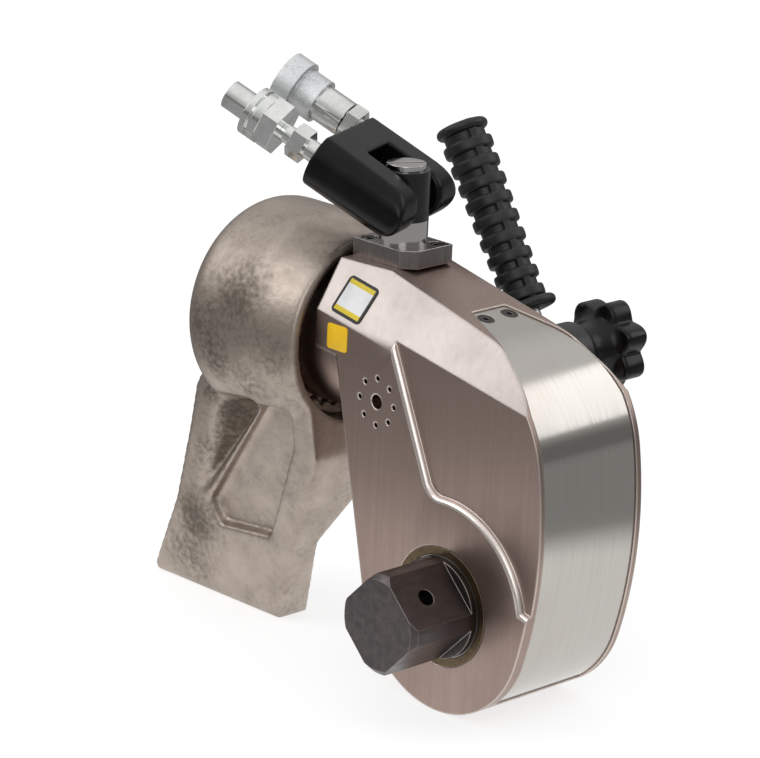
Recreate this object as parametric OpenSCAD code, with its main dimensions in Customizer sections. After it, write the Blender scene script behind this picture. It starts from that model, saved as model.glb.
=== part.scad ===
// Hydraulic torque wrench with a square drive, reaction arm, hose swivel and positioning handle.
// Millimetres, +Z up. The origin is on the drive axis, in the plane of the drive side face.
// Modules are drawn about the middle plane of the housing and moved to the origin by seat().

/* [Housing] */
// Width of the housing along the drive axis
body_w = 71; // [70:0.5:76]
// Radius of the rounded nose about the drive axis
nose_r = 50; // [49.5:0.25:52]
// Radius of the front flank above the nose
flank_r = 200; // [180:5:240]
// Height of the fullest point of the front flank
flank_z = 43; // [38:1:48]
// Radius of the shoulder between flank and top
shoulder_r = 60; // [58:1:64]
// Height of the flat top above the drive axis
top_z = 140.7; // [140:0.5:146]
// Place of the break between flat top and falling top
top_break_x = -57; // [-60:1:-55]
// Fall of the front part of the top, in degrees
top_fall = 13.4; // [12:0.2:14]
// Lean of the rear edge against the vertical, in degrees
rear_lean = 12.5; // [11:0.5:14]
// Distance of the housing's rear face behind the drive axis
body_back = 87; // [86:0.5:89]
// Height of the bevel's lower edge at the rear face
bevel_z = 118.9; // [117:0.5:122]
// Lean of the bevel against the vertical, in degrees
bevel_lean = 33.3; // [30:0.5:36]
// Fall of the bevel towards the front, in degrees
bevel_fall = 10.2; // [9:0.2:11]
// Depth of the sunk side panel
panel_depth = 3; // [2:0.25:4]
// Radius of the raised boss around the drive
boss_r = 50.5; // [50:0.25:52]
// Lean of the sunk panel's rear edge, in degrees
panel_lean = 23.8; // [20:0.5:28]
// Radius of the panel's lower corner
panel_corner_r = 9; // [5:0.5:12]

/* [Cylinder] */
// Height of the cylinder axis above the drive axis
cyl_z = 100; // [99:0.25:101]
// Radius of the cylinder bore
bore_r = 26.5; // [25:0.25:27]
// Radius of the barrel's neck
neck_r = 35; // [34.5:0.25:35.25]
// Distance of the barrel's end behind the drive axis
barrel_back = 158; // [157:0.5:160]
// Thickness of the piston
piston_t = 20; // [16:0.5:21]
// Radius of the piston rod
rod_r = 14; // [12:0.5:15]
// Length of the rod gland
gland_l = 13; // [10:0.5:13]

/* [Drive] */
// Flat-to-flat size of the square drive
square_af = 38.1; // [36:0.1:39]
// Radius over the square's turned corners
square_corner_r = 23.5; // [22.5:0.25:23.75]
// Projection of the square drive from the housing
square_l = 39; // [34:0.5:44]
// Radius of the cross hole in the square
cross_hole_r = 4; // [3:0.25:5]
// Number of ratchet teeth
teeth = 24; // [24]
// Radius over the ratchet teeth
ratchet_r = 38; // [37:0.25:38.5]
// Height of a ratchet tooth
tooth_h = 4; // [3.5:0.25:4]
// Radius of the ratchet's bearing hubs
hub_r = 24; // [23.8:0.1:24.4]
// Outer radius of the drive bushes
bush_r = 27.9; // [27:0.1:29]
// Thickness of one drive plate
plate_t = 9; // [8:0.25:9]
// Swing of the lever behind the vertical at rest, in degrees
lever_back = 19; // [17:0.5:19]
// Swing of the lever past the vertical at full stroke, in degrees
lever_forward = 11; // [9:0.5:11]

/* [Shroud] */
// Thickness of the shroud sheet
sheet_t = 2.4; // [1.5:0.1:2.6]
// Depth of the shroud below the housing's rim
sheet_inset = 0.8; // [0.4:0.1:1]
// Half width of the shroud over the nose
shroud_half_w = 29.5; // [28:0.25:30]
// Half width of the shroud at its upper end
shroud_top_half_w = 10.5; // [10:0.25:13]
// Place of the shroud's upper end
shroud_top_x = -13; // [-15:0.5:-11]
// Angle of the shroud's lower end below the horizontal, in degrees
shroud_end_angle = 54; // [48:1:60]

/* [Reaction arm] */
// Distance of the ring's front face behind the drive axis
ring_front = 90.5; // [90:0.25:92]
// Length of the ring
ring_l = 72; // [70:0.5:76]
// Radius of the ring's front edge
ring_front_r = 46.4; // [46:0.2:48]
// Radius of the ring's full part
ring_r = 52.5; // [51:0.25:54]
// Radius of the ring's rounded rear edge
ring_round_r = 12; // [8:0.5:12]
// Radius of the mouth at the ring's front
mouth_r = 42; // [41:0.25:43]
// Number of spline teeth
splines = 30; // [24:2:36]
// Radius over the barrel's spline
spline_r = 38; // [37.5:0.1:38.5]
// Depth of the spline teeth
spline_h = 2; // [1.5:0.1:2.2]
// Thickness of the foot
foot_t = 19.5; // [16:0.5:24]
// Length of the foot
foot_l = 90; // [80:1:100]
// Distance of the foot's front edge behind the drive axis
foot_front = 128; // [124:0.5:132]
// Depth of the pocket in the leg
pocket_depth = 6; // [3:0.5:8]

/* [Swivel] */
// Distance of the swivel axis behind the drive axis
swivel_back = 69; // [68:0.25:70]
// Length of the swivel flange
flange_l = 36; // [35:0.5:38]
// Width of the swivel flange
flange_w = 28; // [27:0.5:32]
// Height of the swivel flange
flange_h = 8.5; // [7:0.25:10]
// Radius of the swivel post
post_r = 11.25; // [10.5:0.25:11.5]
// Height of the pivot axis above the flange
pivot_h = 20; // [19.5:0.25:22]
// Turn of the swivel about the post, in degrees
swivel_turn = 201; // [195:1:207]
// Tilt of the manifold above the horizontal, in degrees
swivel_tilt = 26; // [22:1:30]
// Length of the manifold from the pivot to the hose end
manifold_l = 39; // [38:0.5:43]
// Radius of the manifold's rounded sides
manifold_r = 14; // [13.5:0.25:14.5]
// Radius of the manifold's pivot end
manifold_end_r = 12.75; // [12.5:0.25:13.5]
// Distance between the axes of the rounded sides
manifold_pitch = 35; // [34:0.5:38]
// Height of the hose end's top above the pivot axis
manifold_top = 13.7; // [13.5:0.1:14.2]
// Depth of the hose end's underside below the pivot axis
manifold_bottom = 11.8; // [11:0.1:12.5]
// Offset of the near port from the middle
near_port_y = 15; // [14:0.5:17]
// Offset of the far port from the middle
far_port_y = 21; // [20:0.5:21.5]
// Radius of the coupler collar
collar_r = 13.25; // [12.75:0.25:14]

/* [Handle] */
// Distance of the handle axis behind the drive axis
handle_back = 45.8; // [44:0.25:47]
// Height of the handle axis above the drive axis
handle_z = 84.6; // [83:0.25:86]
// Distance of the grip from the housing's far face
handle_reach = 40.5; // [38:0.5:44]
// Angle of the grip above the front horizontal, in degrees
grip_angle = 122.7; // [115:1:130]
// Distance of the grip's lower flange from the handle axis
grip_start = 24; // [23:0.1:28]
// Length of the grip
grip_l = 95.1; // [90:0.5:105]
// Radius over the grip's ribs at the hub end
rib_r = 10.4; // [9.5:0.1:11]
// Radius over the grip's ribs at the outer end
rib_end_r = 12.4; // [11.5:0.1:13]
// Radius of the grip's flange at the hub end
grip_flange_r = 14; // [13.5:0.1:15]
// Radius of the grip's flange at the outer end
grip_end_flange_r = 12.7; // [12.5:0.1:14]
// Number of grip ribs
ribs = 9; // [8:1:9]
// Radius of the ring of index holes
index_r = 11; // [10.5:0.25:11.5]
// Radius over the knob's lobes
knob_r = 22.75; // [22:0.25:26]
// Number of knob lobes
lobes = 7; // [5:1:8]

/* [Hidden] */
$fn = 96;
eps = 0.01;
run_gap = 0.05;   // radial clearance of running fits
seat_gap = 0.15;  // clearance of seated and screwed pieces
free_gap = 0.5;   // clearance of moving pieces that never touch
half_w = body_w / 2;

// Shape of the housing's outline
flank_x = -sqrt(pow(flank_r - nose_r, 2) - flank_z * flank_z);
flank_c = [flank_x, flank_z];
flank_foot = -flank_c * nose_r / (flank_r - nose_r);
// The rear line starts a little inside the nose's circle, so that the two cross
rear_foot = -(nose_r - 0.05) * [cos(rear_lean), sin(rear_lean)];
top_break = [top_break_x, top_z];
fall_dir = [cos(top_fall), -sin(top_fall)];
fall_in = [-sin(top_fall), -cos(top_fall)];
shoulder_from = top_break + shoulder_r * fall_in - flank_c;
shoulder_run = -shoulder_from * fall_dir + sqrt(pow(shoulder_from * fall_dir, 2)
    - shoulder_from * shoulder_from + pow(flank_r - shoulder_r, 2));
shoulder_c = flank_c + shoulder_from + shoulder_run * fall_dir;
shoulder_top = top_break + shoulder_run * fall_dir;
shoulder_foot = flank_c + (shoulder_c - flank_c) * flank_r / (flank_r - shoulder_r);
panel_dir = [sin(panel_lean), -cos(panel_lean)];
panel_out = [cos(panel_lean), sin(panel_lean)];
panel_mark = [-13, 57.4];
far_boss_wall = 6;
panel_from = panel_mark + panel_corner_r * panel_out;
panel_run = -panel_from * panel_dir - sqrt(pow(panel_from * panel_dir, 2)
    - panel_from * panel_from + pow(boss_r + panel_corner_r, 2));
panel_c = panel_from + panel_run * panel_dir;

// Mechanism
lever_arc = lever_back + lever_forward;
pin_r = 6;
pin_x = -cyl_z * tan(lever_back);
stroke = cyl_z * (tan(lever_back) + tan(lever_forward));
slot_low = cyl_z;
slot_high = cyl_z / cos(lever_back);
slot_r = pin_r + 0.9;
eye_r = slot_r + 3.2;
chamber_half_w = half_w - 12.5;
tongue_half_w = chamber_half_w - plate_t - 2.5;
plate_in = tongue_half_w + free_gap;
plate_out = plate_in + plate_t;
chamber_r = ratchet_r + 3.5;
pitch = 360 / teeth;
root_r = ratchet_r - tooth_h;
mesh_gap = 0.35;
mesh_turn = 0.5;
shoe_half_l = 10.5;
shoe_top = 58;
shoe_spring_r = 3.2;
shoe_spring_seat = 7;
shoe_spring_y = 5.5;
shoe_lift = tooth_h + 1.2;
guide_top = shoe_top + shoe_lift + 0.8;
guide_half_l = 17;
guide_roof = 6;
gland_front = -59.5;
gland_rear = gland_front - gland_l;
gland_r = rod_r + 8;
piston_front = gland_rear - free_gap - stroke;
piston_rear = piston_front - piston_t;
cap_face = piston_rear - free_gap;
cap_r = bore_r + 2.5;
seal_wire_r = 1;
cap_seal_x = (cap_face - barrel_back) / 2;
chamber_top = slot_high + eye_r + 1.5;
pawl_angle = 90 + lever_back - pitch * 8;
pawl_contact = root_r + tooth_h / 2;
pawl_l = 52;
pawl_eye_r = 6.5;
pawl_gap = 1.34;
pawl_turn = 1.8;
pawl_z = pawl_contact * sin(pawl_angle) + pawl_l * cos(pawl_angle);
pawl_c = [sheet_back_x(pawl_z) - pawl_eye_r - pawl_gap, pawl_z];
pawl_spring_drop = 28;
pawl_spring_l = 3.5;
pawl_pin_r = 3.5;
shank_r = 19;
shank_spline_h = 1.5;
shank_teeth = 20;
stub_r = 13;
cap_t = 6;
button_r = 7;
button_out = 3;
button_l = 9;

// Reaction arm
ring_rear = ring_front + ring_l;
mouth_depth = 14;
spline_front = ring_front + mouth_depth + 2;
latch_x = -ring_front - 37;
latch_tip_r = 5;
latch_collar_r = 7.6;
latch_stem_r = 4;
latch_travel = 4;
floor_z = -nose_r;

// Swivel
flange_top = top_z + flange_h;
pivot_z = flange_top + pivot_h;
post_top = 14;
plug_r = 9.2;
pivot_pin_r = 6;
cheek_gap = 0.35;
slot_end = 22.3;
side_low = 0.5;
side_high = 1.2;
port_r = 5;
port_depth = 9;
near_port_z = -0.3;
far_port_z = 6.2;
near_hex_at = 8.5;
near_hex_l = 7.5;
near_adapter_l = 22.6;
far_hex_at = 2;
far_hex_l = 6.4;
far_adapter_l = 9;
adapter_neck_r = 4.4;
nipple_r = 12;
nipple_nose_r = 6.85;
nipple_hex_l = 8.4;
nipple_groove_at = 12.5;
nipple_shoulder = 17;
nipple_l = 30.4;
coupler_body_r = 8.75;
coupler_body_l = 27;
coupler_lip_r = 11;
coupler_lip_l = 1.5;
coupler_l = 34;
collar_at = 15;
collar_l = 21;
collar_neck_r = 10.8;
collar_neck_l = 10;
collar_groove = 1.5;
flange_screw_inset = 5.2;

// Handle
hub_foot_r = 15.5;
hub_foot_t = 8;
hub_tube_r = 10;
hub_head_r = 15;
hub_head_l = 34;
stud_r = 4;
stud_tip_r = 3.35;
index_hole_r = 1.25;
index_root_r = 1.8;
index_root_l = 5;
index_pin_l = 6;
hole_depth = 9;
knob_gap = 0.3;
knob_head_t = 14;
knob_neck_l = 16;
knob_neck_r = 13;
grip_core_r = 5;
core_foot = 8;
core_end_wall = 5;
flange_round = 2.5;
rib_round = 2.7;
rib_depth = 2.2;
first_rib = 8.2;

// Screws
m4_r = 2;
flange_head_r = 3.6;

function polar(r, a) = [r * cos(a), r * sin(a)];

// Corner points of a straight-sided spline or gear ring
function spline_points(count, root, crest) = [
    for (i = [0 : count - 1])
        for (corner = [[root, 0.04], [crest, 0.16], [crest, 0.44], [root, 0.56]])
            polar(corner[0], (i + corner[1]) * 360 / count)
];

// Saw-tooth outline of the ratchet: a gentle rise, a short land and a radial drop
// Place of the shroud's inner face at a height of the front flank
function sheet_back_x(z) = flank_x + sqrt(pow(flank_r - sheet_inset - sheet_t, 2) - pow(z - flank_z, 2));

function ratchet_points(root, tip) = [
    for (i = [0 : teeth - 1])
        for (corner = [[root, 0], [tip, 1 - 0.14], [tip, 1]])
            polar(corner[0], 90 + (i + corner[1]) * pitch)
];

// Moves pieces drawn about the middle plane to the part's frame
module seat() {
    translate([0, half_w, 0]) children();
}

// Both sides of the middle plane
module both_sides() {
    for (side = [0, 1]) mirror([0, side, 0]) children();
}

// A profile in the XZ plane, made solid between two Y planes
module wall(y0, y1) {
    translate([0, y1, 0]) rotate([90, 0, 0]) linear_extrude(y1 - y0) children();
}

module disc_y(r, y0, y1) {
    translate([0, y0, 0]) rotate([-90, 0, 0]) cylinder(r = r, h = y1 - y0);
}

module disc_x(r, x0, x1) {
    translate([x0, 0, 0]) rotate([0, 90, 0]) cylinder(r = r, h = x1 - x0);
}

// A profile of radius and place, turned about an axis along X
module turned_x() {
    rotate([0, 90, 0]) rotate_extrude() children();
}

module on_cylinder() {
    translate([0, 0, cyl_z]) children();
}

module on_lever() {
    rotate([0, -lever_back, 0]) children();
}

module on_swivel() {
    translate([-swivel_back, 0, pivot_z]) rotate([0, 0, swivel_turn]) children();
}

module on_manifold() {
    on_swivel() rotate([0, -swivel_tilt, 0]) children();
}

module on_handle() {
    translate([-handle_back, half_w, handle_z]) children();
}

// Closed coil: rings that touch, standing in for a spring
module coil(r, wire_r, length) {
    step = wire_r * 1.7;
    turns = ceil((length - 2 * wire_r) / step);
    rise = (length - 2 * wire_r) / max(turns, 1);
    for (i = [0 : turns])
        translate([0, 0, wire_r + i * rise]) rotate_extrude() translate([r, 0]) circle(wire_r * 1.05, $fn = 24);
}

// Seal ring of round section about an axis along Z
module seal_ring(r, wire_r) {
    rotate_extrude() translate([r, 0]) circle(wire_r, $fn = 32);
}

// Side view of the housing, drawn inwards by inset
module outline(inset) {
    shift = inset * fall_in;
    reach = 90 * fall_dir;
    circle(nose_r - inset, $fn = 180);
    difference() {
        intersection() {
            translate(flank_c) circle(flank_r - inset, $fn = 360);
            polygon([rear_foot, rear_foot + [-tan(rear_lean) * (cyl_z - rear_foot[1]), cyl_z - rear_foot[1]],
                [-body_back, cyl_z], [-body_back, top_z - inset], top_break + shift,
                shoulder_top + shift + reach, flank_foot + [nose_r, 0], flank_foot]);
        }
        difference() {
            polygon([shoulder_c, shoulder_top - shoulder_r * fall_in, shoulder_foot * 1.3, shoulder_foot]);
            translate(shoulder_c) circle(shoulder_r - inset, $fn = 180);
        }
    }
}

// Part of the side view in front of the shroud's two ends
module shroud_sector(grow) {
    polygon([[shroud_top_x - grow, cyl_z], [shroud_top_x - grow, 2 * top_z], [2 * nose_r, 2 * top_z],
        [2 * nose_r, -2 * nose_r], polar(2 * nose_r, -shroud_end_angle - grow), [0, 0]]);
}

// Plan of the shroud: narrow at the upper end, full width over the shoulder and nose
module shroud_plan(grow) {
    wide = shroud_half_w + grow;
    narrow = shroud_top_half_w + grow;
    shoulder_x = shoulder_foot[0] - 9;
    union() {
        translate([0, 0, cyl_z - 40]) linear_extrude(100)
            polygon([[shroud_top_x - grow, -narrow], [shoulder_x, -wide], [2 * nose_r, -wide],
                [2 * nose_r, wide], [shoulder_x, wide], [shroud_top_x - grow, narrow]]);
        translate([0, -wide, -2 * nose_r]) cube([2 * nose_r, 2 * wide, cyl_z - 40 + 2 * nose_r]);
    }
}

module shroud_solid(inner, outer, grow) {
    intersection() {
        wall(-shroud_half_w - grow, shroud_half_w + grow) intersection() {
            difference() {
                outline(outer);
                outline(inner);
            }
            shroud_sector(grow);
        }
        shroud_plan(grow);
    }
}

// Seats of the two shroud screws, with Z square to the falling top
module at_shroud_screws() {
    for (side = [-1, 1]) {
        spot = top_break + fall_dir * (shroud_top_x + 6 - top_break_x) / cos(top_fall) + sheet_inset * fall_in;
        translate([spot[0], side * (shroud_top_half_w - 3), spot[1]]) rotate([0, top_fall, 0]) children();
    }
}

module at_flange_screws() {
    for (side = [-1, 1])
        translate([-swivel_back + side * (flange_l / 2 - flange_screw_inset),
            side * (flange_w / 2 - flange_screw_inset), 0]) children();
}

// Sunk panel of the drive side, ending at the boss with a rounded corner
module near_panel() {
    past = 5;
    difference() {
        polygon([panel_mark - 2 * cyl_z * panel_dir, panel_mark + 40 * panel_dir, [2 * nose_r, 0],
            [2 * nose_r, 2 * top_z]]);
        circle(boss_r, $fn = 180);
        difference() {
            polygon([panel_c, panel_c - (panel_corner_r + past) * panel_out,
                panel_mark + 14 * panel_dir - past * panel_out,
                panel_c * (boss_r - past) / (boss_r + panel_corner_r)]);
            // A little over size, so that the arc crosses the edges that it joins
            translate(panel_c) circle(panel_corner_r + 0.05);
        }
    }
}

// Sunk panel of the far side, which goes round the nose and leaves a boss for the bush
module far_panel() {
    difference() {
        polygon([panel_mark - 2 * cyl_z * panel_dir, panel_mark + 60 * panel_dir, [-nose_r, -2 * nose_r],
            [2 * nose_r, -2 * nose_r], [2 * nose_r, 2 * top_z]]);
        circle(bush_r + far_boss_wall);
    }
}

module bevel_cut() {
    translate([-body_back, -half_w, bevel_z]) rotate([0, bevel_fall, 0]) rotate([-bevel_lean, 0, 0])
        translate([-30, -60, -40]) cube([220, 60, 120]);
}

// Hollow for ratchet and lever, open to the front under the shroud
module chamber() {
    circle(chamber_r, $fn = 120);
    polygon([[-chamber_r + 0.5, 0], [gland_front + 3, 60], [gland_front, 74], [gland_front, chamber_top],
        [0, chamber_top], [0, 0]]);
    intersection() {
        translate([-eps, 50]) square([nose_r, chamber_top - 50]);
        translate(shoulder_c) circle(shoulder_r - sheet_inset - sheet_t * 0.8);
    }
    polygon([[0, 0], [0, 88], [2 * nose_r, 88], [2 * nose_r, -28], [20, -28]]);
}

module handle_holes() {
    translate([-handle_back, -half_w, handle_z]) {
        disc_y(stud_tip_r + run_gap, -1, hole_depth);
        for (i = [0 : 7]) rotate([0, i * 45, 0]) translate([index_r, 0, 0]) disc_y(index_hole_r, -1, hole_depth + 1);
    }
}

module oil_ways() {
    // Retract way straight into the rod side of the bore
    translate([gland_rear - 3, 0, cyl_z]) cylinder(r = 2, h = top_z - cyl_z + 1);
    // Advance way down from the flange and back along the barrel wall
    translate([-swivel_back + 6, 0, cyl_z + bore_r + 4.5]) cylinder(r = 2, h = top_z);
    translate([0, 0, cyl_z + bore_r + 4.5]) disc_x(2, cap_face + 1, -swivel_back + 6);
    translate([cap_face + 2.5, 0, cyl_z]) cylinder(r = 2, h = bore_r + 4.5);
}

module housing() {
    color("darkkhaki") seat() difference() {
        union() {
            difference() {
                wall(-half_w, half_w) outline(0);
                both_sides() bevel_cut();
                wall(-half_w - 1, -half_w + panel_depth) near_panel();
                wall(half_w - panel_depth, half_w + 1) far_panel();
            }
            on_cylinder() disc_x(neck_r, -barrel_back, -body_back + 30);
            on_cylinder() translate([-barrel_back + 3, 0, 0]) rotate([0, 90, 0])
                linear_extrude(barrel_back - 3 - spline_front)
                    polygon(spline_points(splines, spline_r - spline_h, spline_r));
        }
        both_sides() handle_holes();
        on_cylinder() disc_x(bore_r, cap_face - 5, gland_rear);
        on_cylinder() disc_x(cap_r, -barrel_back - 1, cap_face - 2);
        on_cylinder() disc_x(gland_r, gland_rear - 1, gland_front + 2);
        wall(-chamber_half_w, chamber_half_w) chamber();
        disc_y(bush_r, -half_w - 1, half_w + 1);
        shroud_solid(sheet_inset + sheet_t + seat_gap, -2, seat_gap);
        at_shroud_screws() translate([0, 0, -14]) cylinder(r = m4_r, h = 14);
        at_flange_screws() translate([0, 0, top_z - 12]) cylinder(r = m4_r, h = 13);
        oil_ways();
        // Open-front seats for the pawl pin
        translate([pawl_c[0], 0, pawl_c[1]]) {
            disc_y(pawl_pin_r + run_gap, -chamber_half_w - 5, chamber_half_w + 5);
            translate([0, -chamber_half_w - 5, -pawl_pin_r - run_gap])
                cube([nose_r, 2 * chamber_half_w + 10, 2 * (pawl_pin_r + run_gap)]);
        }
        // Hole that the arm latch locks into
        translate([latch_x, 0, cyl_z]) disc_y(latch_tip_r + 0.3, spline_r - latch_travel - 1.5, spline_r + 1);
    }
}

module cylinder_cap() {
    color("dimgray") seat() on_cylinder() difference() {
        union() {
            disc_x(cap_r - run_gap, -barrel_back + 1, cap_face - 2);
            disc_x(bore_r - run_gap, cap_face - 2 - eps, cap_face);
        }
        difference() {
            disc_x(cap_r + 1, cap_seal_x - seal_wire_r - 0.2, cap_seal_x + seal_wire_r + 0.2);
            disc_x(cap_r - 2 * seal_wire_r - 0.2, -barrel_back, cap_face);
        }
        for (i = [0 : 3]) rotate([i * 90 + 45, 0, 0]) translate([-barrel_back, 0, cap_r * 0.65])
            disc_x(3, -1, 6);
    }
}

module cap_seal() {
    color("black") seat() on_cylinder() translate([cap_seal_x, 0, 0]) rotate([0, 90, 0])
        seal_ring(cap_r - seal_wire_r - 0.1, seal_wire_r);
}

module rod_gland() {
    color("goldenrod") seat() on_cylinder() difference() {
        disc_x(gland_r - run_gap, gland_rear, gland_front);
        disc_x(rod_r + run_gap, gland_rear - 1, gland_front + 1);
        disc_x(rod_r + 3, gland_rear + 4, gland_rear + 8);
    }
}

module rod_seal() {
    color("black") seat() on_cylinder() difference() {
        disc_x(rod_r + 3 - run_gap, gland_rear + 4 + run_gap, gland_rear + 8 - run_gap);
        disc_x(rod_r + run_gap, gland_rear, gland_front);
    }
}

module drive_bush(side) {
    color("goldenrod") seat() mirror([0, side, 0]) difference() {
        disc_y(bush_r - run_gap, -half_w, -chamber_half_w);
        disc_y(hub_r + run_gap, -half_w - 1, -chamber_half_w + 1);
    }
}

module near_drive_bush() {
    drive_bush(0);
}

module far_drive_bush() {
    drive_bush(1);
}

module front_shroud() {
    color("silver") seat() difference() {
        shroud_solid(sheet_inset + sheet_t, sheet_inset, 0);
        at_shroud_screws() {
            translate([0, 0, -14]) cylinder(r = m4_r + seat_gap, h = 20);
            translate([0, 0, -1.8]) cylinder(r1 = m4_r + seat_gap, r2 = 2 * m4_r + 2 * seat_gap, h = 1.9);
        }
    }
}

module shroud_screws() {
    color("dimgray") seat() at_shroud_screws() difference() {
        union() {
            translate([0, 0, -12]) cylinder(r = m4_r - run_gap, h = 11);
            translate([0, 0, -1.8]) cylinder(r1 = m4_r, r2 = 2 * m4_r, h = 1.8);
        }
        translate([0, 0, -1.2]) cylinder(r = 1.4, h = 2, $fn = 6);
    }
}

module swivel_flange() {
    cut = 6;
    long = flange_l / 2;
    wide = flange_w / 2;
    color("slategray") seat() difference() {
        translate([-swivel_back, 0, top_z]) linear_extrude(flange_h)
            polygon([[-long, -wide], [long - cut, -wide], [long, -wide + cut], [long, wide],
                [-long + cut, wide], [-long, wide - cut]]);
        translate([-swivel_back, 0, top_z + 1.5]) cylinder(r = post_r + run_gap, h = flange_h);
        at_flange_screws() {
            translate([0, 0, top_z - 1]) cylinder(r = m4_r + seat_gap, h = flange_h + 2);
            translate([0, 0, flange_top - 4.5]) cylinder(r = flange_head_r + 0.3, h = 6);
        }
        for (way = [gland_rear - 3, -swivel_back + 6])
            translate([way, 0, top_z - 1]) cylinder(r = 2, h = 4);
    }
}

module flange_screws() {
    color("dimgray") seat() at_flange_screws() difference() {
        union() {
            translate([0, 0, top_z - 10]) cylinder(r = m4_r - run_gap, h = 10 + flange_h - 4);
            translate([0, 0, flange_top - 4.4]) cylinder(r = flange_head_r, h = 4);
        }
        translate([0, 0, flange_top - 2.6]) cylinder(r = flange_head_r / 2, h = 4, $fn = 6);
    }
}

module bevel_tag() {
    color("white") seat() translate([-body_back, -half_w, bevel_z]) rotate([0, bevel_fall, 0])
        rotate([-bevel_lean, 0, 0]) translate([7, -0.4, 2.5]) cube([19, 0.4, 19]);
}

module side_tag() {
    color("gold") seat() translate([-79.2, -half_w - 0.4, 102.3]) cube([13, 0.4, 12]);
}

module pawl_pin() {
    color("dimgray") seat() translate([pawl_c[0], 0, pawl_c[1]])
        disc_y(pawl_pin_r, -chamber_half_w - 4.8, chamber_half_w + 4.8);
}

module piston() {
    color("steelblue") seat() on_cylinder() difference() {
        disc_x(bore_r - run_gap, piston_rear, piston_front);
        difference() {
            disc_x(bore_r + 1, piston_rear + piston_t / 2 - 3, piston_rear + piston_t / 2 + 3);
            disc_x(bore_r - 4, piston_rear, piston_front);
        }
        disc_x(rod_r * 0.6, piston_rear + 4, piston_front + 1);
    }
}

module piston_seal() {
    color("black") seat() on_cylinder() difference() {
        disc_x(bore_r - run_gap, piston_rear + piston_t / 2 - 3 + run_gap, piston_rear + piston_t / 2 + 3 - run_gap);
        disc_x(bore_r - 4 + run_gap, piston_rear, piston_front);
    }
}

module piston_rod() {
    color("gainsboro") seat() on_cylinder() difference() {
        union() {
            disc_x(rod_r * 0.6 - run_gap, piston_rear + 4 + run_gap, piston_front + 1);
            disc_x(rod_r, piston_front, pin_x - 18);
            intersection() {
                disc_x(rod_r, pin_x - 19, pin_x);
                translate([pin_x - 20, -tongue_half_w, -rod_r]) cube([40, 2 * tongue_half_w, 2 * rod_r]);
            }
            translate([pin_x, 0, 0]) disc_y(rod_r - 1.5, -tongue_half_w, tongue_half_w);
        }
        translate([pin_x, 0, 0]) disc_y(pin_r + run_gap, -half_w, half_w);
    }
}

module rod_pin() {
    color("dimgray") seat() translate([pin_x, 0, cyl_z]) disc_y(pin_r, -plate_out, plate_out);
}

module plate_shape() {
    difference() {
        union() {
            circle(ratchet_r - 5);
            polygon([[-27, 12], [27, 12], [eye_r, (slot_low + slot_high) / 2], [-eye_r, (slot_low + slot_high) / 2]]);
            translate([0, (slot_low + slot_high) / 2]) circle(eye_r + (slot_high - slot_low) / 2);
        }
        circle(hub_r + run_gap);
        for (z = [slot_low, slot_high]) translate([0, z]) circle(slot_r);
        translate([-slot_r, slot_low]) square([2 * slot_r, slot_high - slot_low]);
        for (spot = guide_pin_spots()) translate(spot) circle(2.5 + run_gap);
    }
}

function guide_pin_spots() = [[-13.7, 50], [13.7, 50], [0, guide_top + guide_roof / 2]];

module drive_plates() {
    color("slategray") seat() on_lever() both_sides() wall(plate_in, plate_out) plate_shape();
}

module shoe_guide() {
    color("gray") seat() on_lever() wall(-plate_in + run_gap, plate_in - run_gap) difference() {
        translate([-guide_half_l, ratchet_r + 2]) square([2 * guide_half_l, guide_top + guide_roof - ratchet_r - 2]);
        translate([-shoe_half_l - 0.3, 0]) square([2 * shoe_half_l + 0.6, guide_top]);
        for (spot = guide_pin_spots()) translate(spot) circle(2.5 + run_gap);
    }
}

module guide_pins() {
    color("dimgray") seat() on_lever() for (spot = guide_pin_spots())
        translate([spot[0], 0, spot[1]]) disc_y(2.5, -plate_out + 0.5, plate_out - 0.5);
}

// Ratchet's outline with room all round, and behind each tooth for a swing out of it
module meshing_ratchet(behind = mesh_turn) {
    for (turn = [-mesh_turn, behind]) rotate(turn) polygon(ratchet_points(root_r + mesh_gap, ratchet_r + mesh_gap));
}

// Pockets of the two springs in the top of the shoe, which is drawn lifted out of the teeth
module at_shoe_springs() {
    for (y = [-shoe_spring_y, shoe_spring_y]) translate([0, y, shoe_top - shoe_spring_seat]) children();
}

module drive_shoe() {
    color("firebrick") seat() on_lever() translate([0, 0, shoe_lift]) difference() {
        wall(-plate_in + 0.3, plate_in - 0.3) difference() {
            intersection() {
                polygon([polar(root_r - 2, 90 - pitch), polar(shoe_top * 1.2, 90 - pitch),
                    polar(shoe_top * 1.2, 90 + pitch - 1), polar(root_r - 2, 90 + pitch - 1)]);
                translate([-shoe_half_l, 0]) square([2 * shoe_half_l, shoe_top]);
            }
            meshing_ratchet();
        }
        at_shoe_springs() cylinder(r = shoe_spring_r + 1, h = shoe_top);
    }
}

module shoe_springs() {
    color("lightgray") seat() on_lever() translate([0, 0, shoe_lift + 0.05]) at_shoe_springs()
        coil(shoe_spring_r, 0.6, guide_top - shoe_lift - shoe_top + shoe_spring_seat - 0.1);
}

module ratchet_wheel() {
    color("dimgray") seat() on_lever() difference() {
        union() {
            wall(-plate_in + free_gap, plate_in - free_gap) polygon(ratchet_points(root_r, ratchet_r));
            disc_y(hub_r, -half_w + 0.3, half_w - 0.3);
        }
        wall(-half_w, half_w) polygon(spline_points(shank_teeth, shank_r - shank_spline_h + run_gap, shank_r + run_gap));
    }
}

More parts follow.
